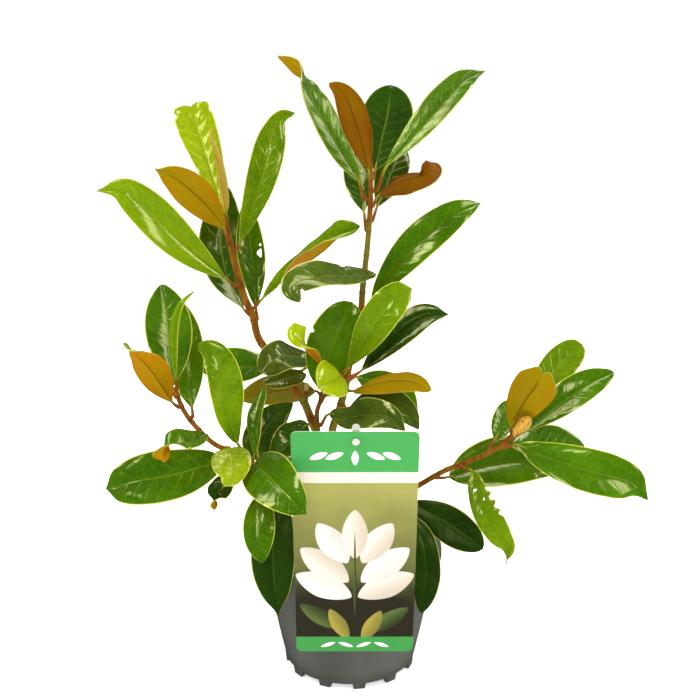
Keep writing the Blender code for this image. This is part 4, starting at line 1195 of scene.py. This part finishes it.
def shape_blade(item, name, places, half_width, roll, fold, wave):
    """Bends the flat grid to the leaf's midrib, outline, fold, wave and puffed veins."""
    faces = faces_along(places, round(MIDDLE_SHARE * CELLS_ALONG))
    for vertex in item.data.vertices:
        place = vertex.co.x
        share = (vertex.co.y + 1) / 2
        along = share - notched(name, place, share)
        row = min(int(along * CELLS_ALONG), CELLS_ALONG - 1)
        part = along * CELLS_ALONG - row
        spot = places[row][0].lerp(places[row + 1][0], part)
        ahead = places[row][1].lerp(places[row + 1][1], part).normalized()
        face = faces[row].lerp(faces[row + 1], part)
        face = (face - ahead * face.dot(ahead)).normalized()
        face.rotate(Matrix.Rotation(radians(between(roll, share)), 3, ahead))
        stalk = STALK_RADIUS * (1 - step_up(share, 0.0, BASE_SHARE))
        width = max(stalk, half_width * outline(name, share))
        width *= bitten(name, place, share)
        lift = ((1 + ARCH) * abs(place) - ARCH * place * place) * width * sin(radians(fold))
        lift += blade_relief(name, place, share, width, wave)
        vertex.co = spot + ahead.cross(face) * (place * width * cos(radians(fold))) + face * lift


def blade_relief(name, place, share, width, wave):
    """How far the blade stands up at a place across (-1 to 1) and a share of its length: its waved
    edge, the puffs between side veins, the groove of the midrib and the turned-down edge."""
    edge = abs(place)**EDGE_POWER
    ripple = sin(share * WAVE_ALONG + place * WAVE_ACROSS) * step_up(share, 0, 0.12)
    lift = wave * place * abs(place) * ripple
    phase = share * VEIN_PAIRS - abs(place) * VEIN_SLANT + VEIN_SHIFT * (place < 0)
    puff = sin(pi * phase)**2 * step_up(abs(place), 0.05, 0.3) * (1 - edge)
    lift += (puff - 0.5) * PUFFS.get(name, PUFF) * step_up(width, *PUFF_FADE)
    lift -= GROOVE * exp(-(place * width / GROOVE_WIDTH)**2) * step_up(width, *GROOVE_FADE)
    return lift - EDGE_TURN * edge * step_up(width, *EDGE_TURN_FADE)


def make_leaf(name, stem, root, knots, half_width, roll, fold, wave, kind):
    """A leaf on its stalk: a thin blade with an upper side, a felted underside and an edge."""
    middle, along, radius, _ = stem_place(stem, *root)
    knots = [sight(*place) for place in knots]
    out = knots[0] - middle
    out = (out - along * out.dot(along)).normalized()
    start = middle + out * (radius + STALK_GAP)
    stalk = [start, start + out * STALK_FOOT]
    route = Route(stalk + knots)
    base = route.lengths[len(stalk) * CURVE_STEPS]
    rows = [base + (route.total - base) * row / CELLS_ALONG for row in range(CELLS_ALONG + 1)]
    blade = flat_blade("leaf_" + name, HOLES.get(name, ()))
    places = [route.at(length) for length in rows]
    shape_blade(blade, name, places, half_width * MM, roll, fold, wave * MM)
    edit_all(blade, bpy.ops.mesh.remove_doubles, threshold=JOIN_WITHIN)
    top = TOPS[OTHER_TOPS.get(name, kind)]
    wear(blade, top, UNDERSIDES[OTHER_FELTS.get(name, "gold")], EDGE_FINISH, STALK_FINISH)
    finish_modifier(blade, "SOLIDIFY", thickness=BLADE, offset=-1.0, material_offset=1,
                    material_offset_rim=2)
    spread = random.Random(name).uniform(-SHADE_SPREAD, SHADE_SPREAD)
    corners = len(blade.data.vertices)
    paint(blade, "shade", [SHADES.get(name, SHADE_MIDDLE + spread)] * corners)
    paint(blade, "felt", [FELTS.get(name, FELT_MIDDLE + spread)] * corners)
    smooth_by_angle(blade, 60)
    join(blade, leaf_rod(name, route, base, middle + out * radius * STALK_DEPTH))
    return stand_for(blade, "leaf_" + name)


def leaf_rod(name, route, base, foot):
    """The leaf's stalk: a rod from inside the stem to a little way under the blade."""
    end = route.at(base + STALK_INTO_BLADE)[0]
    points = [route.at(base * step / STALK_STEPS)[0] for step in range(STALK_STEPS + 1)]
    radii = [STALK_RADIUS * swell for swell in STALK_SWELLS]
    rod = tube(name + "_stalk", [foot, *points, end], radii, 3)
    wear(rod, STALK_FINISH)
    smooth(rod)
    reach = (end - foot).length
    paint(rod, "brown", [1 - step_up((vertex.co - foot).length, 0.0, reach)
                         for vertex in rod.data.vertices])
    return rod


# Wood


def wood_rod(name, route, start_radius, end_radius, rings):
    """A tapering stem with a low ring at each place where a leaf grows or grew."""
    count = max(4, round(route.total / ROD_STEP))
    spots = []
    radii = []
    for index in range(count + 1):
        length = route.total * index / count
        radius = start_radius + (end_radius - start_radius) * index / count
        for ring in rings:
            radius += RING_RISE * exp(-((length - ring) / RING_WIDTH)**2)
        spots.append(route.at(length)[0])
        radii.append(radius)
    return tube(name, spots, radii)


def leaf_scars(stem):
    """Lengths along a stem at which its leaves grow, and a few in between."""
    roots = sorted(stem_place(stem, *leaf[2])[3] for leaf in LEAVES if leaf[1] == stem)
    total = stem_route(stem).total
    spots = list(roots)
    length = OLD_SCAR_STEP
    while length < total:
        if all(abs(length - root) > OLD_SCAR_STEP / 2 for root in roots):
            spots.append(length)
        length += OLD_SCAR_STEP
    return spots


def make_wood():
    """All the wood in one skin: trunk, branches, pruned stub, spurs and dry twigs."""
    rods = [wood_rod(name, stem_route(name), *stem_radii(name), leaf_scars(name)) for name in STEMS]
    for name, (places, start, end) in {**SHOOTS, **TWIGS}.items():
        route = Route([sight(*place) for place in places])
        rods.append(wood_rod(name, route, start * MM, end * MM, ()))
    wood = join(*rods)
    wood.name = "stems"
    finish_modifier(wood, "REMESH", mode="VOXEL", voxel_size=WOOD_VOXEL)
    finish_modifier(wood, "SMOOTH", factor=0.5, iterations=3)
    paint_wood(wood)
    wear(wood, young_bark())
    smooth(wood)
    return stand_for(wood, "stems")


def paint_wood(wood):
    """Marks on the bark, as attributes: green older wood, dark scar rings and the stub's cut."""
    rings = []
    for stem in STEMS:
        route = stem_route(stem)
        rings += [route.at(length) for length in leaf_scars(stem)]
    greens = [(sight(*place), reach * MM) for place, reach in GREEN_WOOD]
    cut = sight(*SHOOTS["stub"][0][-1])
    spots = [vertex.co for vertex in wood.data.vertices]
    paint(wood, "green", [max(1 - step_up((spot - middle).length, 0.5 * reach, reach)
                              for middle, reach in greens) for spot in spots])
    paint(wood, "ring", [ring_mark(spot, rings) for spot in spots])
    paint(wood, "cut", [1 - step_up((spot - cut).length, *CUT_PAINT) for spot in spots])


def ring_mark(spot, rings):
    """1 on the nearest scar ring and 0 away from all of them."""
    mark = 0.0
    for middle, ahead in rings:
        away = spot - middle
        if away.length < RING_NEAR:
            mark = max(mark, 1 - step_up(abs(away.dot(ahead)), *RING_PAINT))
    return mark


def make_bud():
    """The furry bud at the end of the right branch, with a groove between its scales."""
    route = Route([sight(*place) for place in RIGHT_BUD])
    shares = [step / BUD_STEPS for step in range(BUD_STEPS + 1)]
    spots = [route.at(share * route.total)[0] for share in shares]
    bud = tube("bud", spots, [bud_radius(share) * MM for share in shares], 6)
    finish_modifier(bud, "SUBSURF", levels=1, render_levels=1)
    for vertex in bud.data.vertices:
        away = vertex.co - spots[0]
        turn = atan2(away.x, away.z)
        vertex.co += vertex.normal * (BUD_GROOVE * sin(3 * turn + BUD_TWIST * away.length))
    wear(bud, furry_bud())
    smooth(bud)
    return stand_for(bud, None)


def bud_radius(share):
    """The bud's radius in millimetres at a share of its length, smooth through BUD_SHAPE."""
    for (low, first), (high, second) in zip(BUD_SHAPE, BUD_SHAPE[1:]):
        if share <= high:
            return first + (second - first) * step_up(share, low, high)
    return BUD_SHAPE[-1][1]


# Pot and soil


def wall_radius(height):
    """Outer radius of the pot's tapered wall, which bows out slightly between its ends."""
    share = (height - FOOT_HEIGHT) / (POT_HEIGHT - RIM_DEPTH - FOOT_HEIGHT)
    straight = WALL_BASE_RADIUS + (WALL_TOP_RADIUS - WALL_BASE_RADIUS) * share
    return straight + WALL_BULGE * sin(pi * share)


def turn_profile(name, profile, sides):
    """A ring at the profile's first (radius, height), extruded and resized to each next one."""
    deselect()
    radius, height = profile[0]
    bpy.ops.mesh.primitive_circle_add(vertices=sides, radius=radius, location=(0, 0, 0))
    item = named(name)
    bpy.ops.object.mode_set(mode="EDIT")
    bpy.ops.mesh.select_all(action="SELECT")
    bpy.ops.transform.translate(value=(0, 0, height))
    bpy.ops.mesh.edge_face_add()
    for next_radius, next_height in profile[1:]:
        bpy.ops.mesh.extrude_region_move(TRANSFORM_OT_translate={"value": (0, 0, next_height - height)})
        size = next_radius / radius
        bpy.ops.transform.resize(value=(size, size, 1), center_override=(0, 0, next_height))
        radius, height = next_radius, next_height
    bpy.ops.object.mode_set(mode="OBJECT")
    face_out(item)
    return item


def make_pot():
    """The pot's shell with its rolled rim, and its feet."""
    heights = [FOOT_HEIGHT + WALL_RING_STEP * (ring + 0.5) for ring in range(WALL_RINGS)]
    outside = [(wall_radius(height), height) for height in heights]
    inside = [(radius - WALL, height) for radius, height in outside[:0:-1]]
    floor_top = FOOT_HEIGHT + FLOOR_THICK
    floor_ring = [(WALL_BASE_RADIUS - WALL - 2 * MM, floor_top), (2 * MM, floor_top)]
    pot = turn_profile("pot", pot_underside() + outside + pot_rim() + inside + floor_ring, POT_SIDES)
    smooth_by_angle(pot, 40)
    join(pot, *[make_foot(number) for number in range(FOOT_COUNT)])
    wear(pot, pot_plastic())
    return stand_for(pot, "pot")


def pot_underside():
    """The flat pad in the middle of the underside, and the bottom out to the wall."""
    return [
        (CENTRE_PAD_RADIUS * 0.3, 0), (CENTRE_PAD_RADIUS - 0.5 * MM, 0), (CENTRE_PAD_RADIUS, 0.4 * MM),
        (CENTRE_PAD_RADIUS + 1 * MM, FOOT_HEIGHT), (WALL_BASE_RADIUS - 3 * MM, FOOT_HEIGHT),
        (WALL_BASE_RADIUS - 0.9 * MM, FOOT_HEIGHT + 0.6 * MM),
    ]


def pot_rim():
    """The rolled rim, from its lower lip over its rounded top to the mouth."""
    lip = POT_HEIGHT - RIM_DEPTH
    mouth = WALL_TOP_RADIUS - WALL
    roll = [(RIM_RADIUS - RIM_ROUNDING * (1 - cos(angle)), POT_HEIGHT - RIM_ROUNDING * (1 - sin(angle)))
            for angle in RIM_ARC]
    return [
        (RIM_RADIUS - 1.6 * MM, lip - 0.2 * MM), (RIM_RADIUS - 0.5 * MM, lip + 0.4 * MM),
        (RIM_RADIUS, lip + 1.6 * MM), (RIM_RADIUS, POT_HEIGHT - 2.4 * MM), *roll,
        (mouth + 1.5 * MM, POT_HEIGHT), (mouth + 0.4 * MM, POT_HEIGHT - 0.6 * MM),
        (mouth, POT_HEIGHT - 2 * MM),
    ]


def make_foot(number):
    """One foot: a small block, wider at its root, with rounded edges."""
    deselect()
    bpy.ops.mesh.primitive_cube_add(size=1.0, location=(0, 0, 0))
    foot = named(f"foot_{number}")
    tall = FOOT_HEIGHT + FOOT_INTO_POT
    foot.scale = (FOOT_DEPTH, FOOT_WIDTH, tall)
    foot.location = (0, 0, tall / 2)
    settle(foot)
    select_faces(foot, lambda centre: centre.z < HAIR)
    bpy.ops.transform.resize(value=FOOT_TAPER, center_override=(0, 0, 0))
    bpy.ops.object.mode_set(mode="OBJECT")
    round_edges(foot, FOOT_ROUNDING, 3, 40)
    radius = WALL_BASE_RADIUS - FOOT_DEPTH / 2 + FOOT_STAND_OUT
    turn = Matrix.Rotation(2 * pi * number / FOOT_COUNT + FOOT_START, 4, "Z")
    place_at(foot, turn @ Matrix.Translation((radius, 0, 0)))
    smooth_by_angle(foot, 40)
    return foot


def make_soil():
    """The soil: a rounded root ball whose top is lumpy, with chips of bark on it."""
    edge = wall_radius(SOIL_TOP) - SOIL_INSET
    profile = [(radius, SOIL_BASE) for radius in SOIL_BASE_RADII]
    profile += [(wall_radius(z * MM) - SOIL_INSET, z * MM) for z in SOIL_SIDE_HEIGHTS]
    profile += [(edge * (1 - ring / SOIL_RINGS), SOIL_TOP) for ring in range(SOIL_RINGS)]
    soil = turn_profile("soil", profile, POT_SIDES)
    for vertex in soil.data.vertices:
        if vertex.co.z > SOIL_TOP - HAIR:
            vertex.co.z += soil_lump(vertex.co, edge)
    smooth(soil)
    wear(soil, damp_soil())
    stand_for(soil, "soil")
    make_chips(edge)


def soil_lump(spot, edge):
    """How far the soil's top stands up at a spot, even at the trunk and sunk along its edge."""
    angle = atan2(spot.y, spot.x)
    share = Vector((spot.x, spot.y)).length / edge
    lump = sin(5 * angle + 9 * share) * cos(3 * angle - 14 * share) * SOIL_LUMP
    crumb = noise.noise(spot * SOIL_CRUMB_SCALE) * SOIL_CRUMB
    return (lump + crumb) * step_up(share, 0.0, 0.2) - SOIL_EDGE_SINK * step_up(share, 0.9, 1.0)


def make_chips(edge):
    """Flakes of bark, modelled once, copied with turned and stretched shapes, and joined. Those at
    the trunk and under the label are small."""
    draw = random.Random(CHIP_SEED)
    noise.seed_set(CHIP_SEED)
    deselect()
    bpy.ops.mesh.primitive_cube_add(size=1.0, location=(0, 0, 0))
    model = named("chip")
    finish_modifier(model, "BEVEL", width=CHIP_BEVEL, segments=1)
    for vertex in model.data.vertices:
        vertex.co += noise.noise_vector(vertex.co * CHIP_LUMPS) * CHIP_ROUGHNESS
    chips = []
    for _ in range(CHIP_COUNT):
        angle = draw.uniform(0, 2 * pi)
        radius = edge * draw.uniform(*CHIP_SPREAD)**CHIP_CROWDING
        size = draw.uniform(*CHIP_LENGTHS) * MM
        low, high = UNDER_LABEL_ANGLES
        if radius < NEAR_TRUNK or (low < angle < high and radius > UNDER_LABEL_FROM):
            size *= 0.5
        chip = model.copy()
        chip.data = model.data.copy()
        bpy.context.scene.collection.objects.link(chip)
        turn = Matrix.Rotation(draw.uniform(0, 2 * pi), 4, "Z")
        turn = turn @ Matrix.Rotation(draw.uniform(-CHIP_TILT, CHIP_TILT), 4, "X")
        wide = size * draw.uniform(*CHIP_WIDTHS)
        thick = size * draw.uniform(*CHIP_DEPTHS)
        radius = min(radius, edge - size * CHIP_CLEARANCE)
        spot = Matrix.Translation((radius * cos(angle), radius * sin(angle), SOIL_TOP + CHIP_LIFT))
        chip.data.transform(spot @ turn @ Matrix.Diagonal((size, wide, thick, 1)))
        chips.append(chip)
    bpy.data.objects.remove(model)
    bark = join(*chips)
    bark.name = "bark_chips"
    wear(bark, bark_chip())
    smooth_by_angle(bark, 30)
    stand_for(bark, None)


# Label and stake


def label_place():
    """Where the label's lower edge stands: its back just clears the front of the rim."""
    bottom_y = (LABEL_REST_HEIGHT - LABEL_BOTTOM_Z) * tan(LABEL_LEAN) - RIM_RADIUS - LABEL_GAP
    foot = Matrix.Translation((LABEL_MIDDLE_X, bottom_y, LABEL_BOTTOM_Z))
    return foot @ Matrix.Rotation(LABEL_LEAN, 4, "X")


def peg_spot(forward):
    """The peg's place on the label, at a distance from the label's back."""
    return Vector((STAKE_X - LABEL_MIDDLE_X, forward, LABEL_HEIGHT - PEG_DOWN))


def make_label():
    """The care label: a thin printed card with round corners and a hole for the stake's peg."""
    deselect()
    bpy.ops.mesh.primitive_plane_add(size=1.0, location=(0, 0, 0), rotation=(pi / 2, 0, 0),
                                     calc_uvs=True)
    label = named("label")
    label.scale = (LABEL_WIDTH, LABEL_HEIGHT, 1)
    label.location = (0, 0, LABEL_HEIGHT / 2)
    settle(label)
    edit_all(label, bpy.ops.mesh.bevel, offset=LABEL_CORNER, segments=CORNER_SEGMENTS,
             affect="VERTICES")
    wear(label, printed_card(), card_back())
    finish_modifier(label, "SOLIDIFY", thickness=LABEL_THICK, offset=-1.0, material_offset=1,
                    material_offset_rim=1)
    hole = cutter_rod(PEG_RADIUS + HOLE_CLEARANCE, peg_spot(0))
    finish_modifier(label, "BOOLEAN", operation="DIFFERENCE", object=hole)
    bpy.data.objects.remove(hole)
    round_edges(label, CARD_ROUNDING, 2)
    place_at(label, label_place() @ Matrix.Translation((0, -LABEL_THICK, 0)))
    smooth_by_angle(label, 40)
    return stand_for(label, "label")


def cutter_rod(radius, spot):
    deselect()
    bpy.ops.mesh.primitive_cylinder_add(vertices=PEG_SIDES, radius=radius, depth=CUTTER_LENGTH,
                                        location=spot, rotation=(pi / 2, 0, 0))
    rod = named("cutter")
    settle(rod)
    return rod


def stake_place():
    """The stake's top stands behind the label's upper edge, and it leans a little more."""
    edge = label_place() @ Vector((0, 0, LABEL_HEIGHT))
    top = Matrix.Translation((STAKE_X, edge.y, edge.z))
    lift = Matrix.Translation((0, STAKE_BEHIND_LABEL, STAKE_ABOVE_LABEL))
    return top @ Matrix.Rotation(STAKE_LEAN, 4, "X") @ lift


def make_stake():
    """The stake: a flat strip with a round top and a point, and the peg that holds the label."""
    deselect()
    bpy.ops.mesh.primitive_plane_add(size=1.0, location=(0, 0, 0), rotation=(pi / 2, 0, 0))
    stake = named("stake")
    stake.scale = (STAKE_WIDTH, STAKE_LENGTH, 1)
    stake.location = (0, 0, -STAKE_LENGTH / 2)
    settle(stake)
    for vertex in stake.data.vertices:
        if vertex.co.z < -STAKE_LENGTH / 2:
            vertex.co.x *= STAKE_NARROWED
    edit_all(stake, bpy.ops.mesh.subdivide, number_cuts=STAKE_CUTS)
    for vertex in stake.data.vertices:
        down = -vertex.co.z
        full = STAKE_WIDTH / 2 * (1 - (1 - STAKE_NARROWED) * down / STAKE_LENGTH)
        share = vertex.co.x / full
        down, wide = stake_edge(down)
        vertex.co.x = share * wide
        vertex.co.z = -down
    finish_modifier(stake, "SOLIDIFY", thickness=STAKE_THICK, offset=-1.0)
    round_edges(stake, STAKE_ROUNDING, 2)
    place_at(stake, stake_place())
    front = -LABEL_THICK - PEG_HEAD_GAP
    shaft = peg_part(PEG_RADIUS, -LABEL_THICK - PEG_OUT_OF_LABEL, PEG_INTO_STAKE, PEG_ROUNDING)
    head = peg_part(PEG_HEAD_RADIUS, front - PEG_HEAD_THICK, front, PEG_HEAD_ROUNDING)
    join(stake, shaft, head)
    smooth_by_angle(stake, 40)
    wear(stake, stake_plastic())
    return stand_for(stake, "stake")


def stake_edge(down):
    """For a ring of the strip, how far down it goes and half its width: close rings round the top,
    and a point at the foot."""
    half = STAKE_WIDTH / 2
    if down < ROUND_TOP_SHARE * STAKE_LENGTH:
        down = half * (1 - cos(down / (ROUND_TOP_SHARE * STAKE_LENGTH) * pi / 2))
    wide = half if down > half else (half**2 - (half - down)**2)**0.5
    wide = min(wide, half * max(STAKE_LENGTH - down, HAIR) / STAKE_POINT)
    return down, max(wide, HAIR)


def peg_part(radius, start, end, rounding):
    """A short rod square to the label, at the peg's place."""
    deselect()
    bpy.ops.mesh.primitive_cylinder_add(vertices=PEG_SIDES, radius=radius, depth=end - start,
                                        location=(0, 0, 0))
    peg = named("peg")
    round_edges(peg, rounding, 3)
    spot = Matrix.Translation(peg_spot((start + end) / 2))
    place_at(peg, label_place() @ spot @ Matrix.Rotation(pi / 2, 4, "X"))
    return peg


# Stage


def make_camera():
    camera = bpy.data.objects.new("camera", bpy.data.cameras.new("camera"))
    bpy.context.scene.collection.objects.link(camera)
    camera.location = EYE
    camera.rotation_euler = (pi / 2 - EYE_PITCH, 0, 0)
    camera.data.sensor_width = SENSOR
    camera.data.lens = SENSOR * EYE_SCALE / (2 * VIEW_MIDDLE)
    bpy.context.scene.camera = camera


def make_light(name, wide, tall, power, spot, mirrored):
    """A soft light that looks from its spot at the plant. A fill isn't mirrored in gloss."""
    lamp = bpy.data.lights.new(name, "AREA")
    lamp.shape = "RECTANGLE"
    lamp.size = wide
    lamp.size_y = tall
    lamp.energy = power
    light = bpy.data.objects.new(name, lamp)
    light.visible_glossy = mirrored
    bpy.context.scene.collection.objects.link(light)
    light.location = spot
    aim = Vector(LIGHT_TARGET) - Vector(spot)
    light.rotation_euler = aim.to_track_quat("-Z", "Y").to_euler()


def make_floor():
    """A pale floor that glows a little, more so farther out, and isn't mirrored in the leaves."""
    deselect()
    bpy.ops.mesh.primitive_plane_add(size=FLOOR_SIZE, location=(0, 0, -FLOOR_DROP))
    ground = named("floor")
    settle(ground)
    finish = Finish("pale floor", "f4f4f2", Roughness=0.9, Specular_IOR_Level=0.0,
                    Emission_Color=WHITE)
    finish.colour(finish.blend(finish.noise(3.0), "f4f4f2", "f0f0ee"))
    x, y, _ = finish.parts(finish.place())
    squares = finish.number("ADD", finish.number("MULTIPLY", x, x), finish.number("MULTIPLY", y, y))
    away = finish.rise(finish.number("SQRT", squares), GLOW_FROM, GLOW_FULL)
    glow = finish.number("MULTIPLY_ADD", away, GLOW_FAR - GLOW_NEAR, GLOW_NEAR)
    finish.feed(finish.shader.inputs["Emission Strength"], glow)
    wear(ground, finish.material)
    ground.visible_glossy = False


def make_surrounding():
    """White to the camera, and to everything else a soft sky that is lighter above."""
    world = bpy.data.worlds.new("surrounding")
    bpy.context.scene.world = world
    world.use_nodes = True
    tree = world.node_tree
    backdrop = tree.nodes["Background"]
    backdrop.inputs["Color"].default_value = WHITE
    backdrop.inputs["Strength"].default_value = SURROUNDING_SEEN
    fill = tree.nodes.new("ShaderNodeBackground")
    fill.inputs["Color"].default_value = WHITE
    toward = tree.nodes.new("ShaderNodeSeparateXYZ")
    tree.links.new(tree.nodes.new("ShaderNodeTexCoord").outputs["Generated"], toward.inputs[0])
    sky = tree.nodes.new("ShaderNodeMapRange")
    limits = (*SURROUNDING_SLOPE, SURROUNDING_BELOW, SURROUNDING_ABOVE)
    for limit, value in zip(("From Min", "From Max", "To Min", "To Max"), limits):
        sky.inputs[limit].default_value = value
    tree.links.new(toward.outputs[2], sky.inputs["Value"])
    tree.links.new(sky.outputs[0], fill.inputs["Strength"])
    mixed = tree.nodes.new("ShaderNodeMixShader")
    rays = tree.nodes.new("ShaderNodeLightPath")
    tree.links.new(rays.outputs["Is Camera Ray"], mixed.inputs[0])
    tree.links.new(fill.outputs[0], mixed.inputs[1])
    tree.links.new(backdrop.outputs[0], mixed.inputs[2])
    tree.links.new(mixed.outputs[0], tree.nodes["World Output"].inputs[0])
    bpy.context.scene.view_settings.view_transform = "Standard"


make_camera()
make_floor()
for light in LIGHTS:
    make_light(*light)
make_surrounding()

STALK_FINISH = leaf_stalk()
TOPS = {
    "light": leaf_top("leaf top light", "4e7002", "7a9a06", "9cac1a", "ccca44", 0.35),
    "bright": leaf_top("leaf top bright", "768e04", "a4b80a", "b4c020", "ccd040", 0.35),
    "mid": leaf_top("leaf top mid", "2a5002", "4e7c02", "80961a", "c4c34a", 0.35),
    "satin": leaf_top("leaf top satin", "2a5002", "4e7c02", "80961a", "c4c34a", 0.35, 1.0, 0.26),
    # A darker copy of the dark top for the low front leaves: partly their own deeper green, partly
    # painted shade.
    "deep": leaf_top("leaf top deep", "0c2201", "1c3e03", "506414", "a8a842", 0.40, 0.25, 0.32),
    "dark": leaf_top("leaf top dark", "112c01", "284e04", "6c7c1e", "b4b44a", 0.55),
    "olive": leaf_top("leaf top olive", "283f08", "50661a", "808c30", "bcb84a", 0.45),
    "young": leaf_top("leaf top young", "9c9a20", "b8a83c", "c8bc50", "d0c460", 0.35),
    "under": leaf_top("leaf top green", "3e6a04", "6c9208", "98ac20", "c0c038", 0.35),
}
UNDERSIDES = {
    "gold": leaf_felt("leaf felt gold", "8c7a02", "a86a02", "644402"),
    "brown": leaf_felt("leaf felt brown", "866002", "6c3a02", "4c2c02"),
    "olive": leaf_felt("leaf felt olive", "5e5e0c", "80700c", "5a4008"),
    "young": leaf_felt("leaf felt young", "b0983c", "c4a040", "8a6a1c"),
}
EDGE_FINISH = leaf_edge()

make_pot()
make_soil()
make_wood()
make_bud()
for leaf in LEAVES:
    make_leaf(*leaf)
make_label()
make_stake()
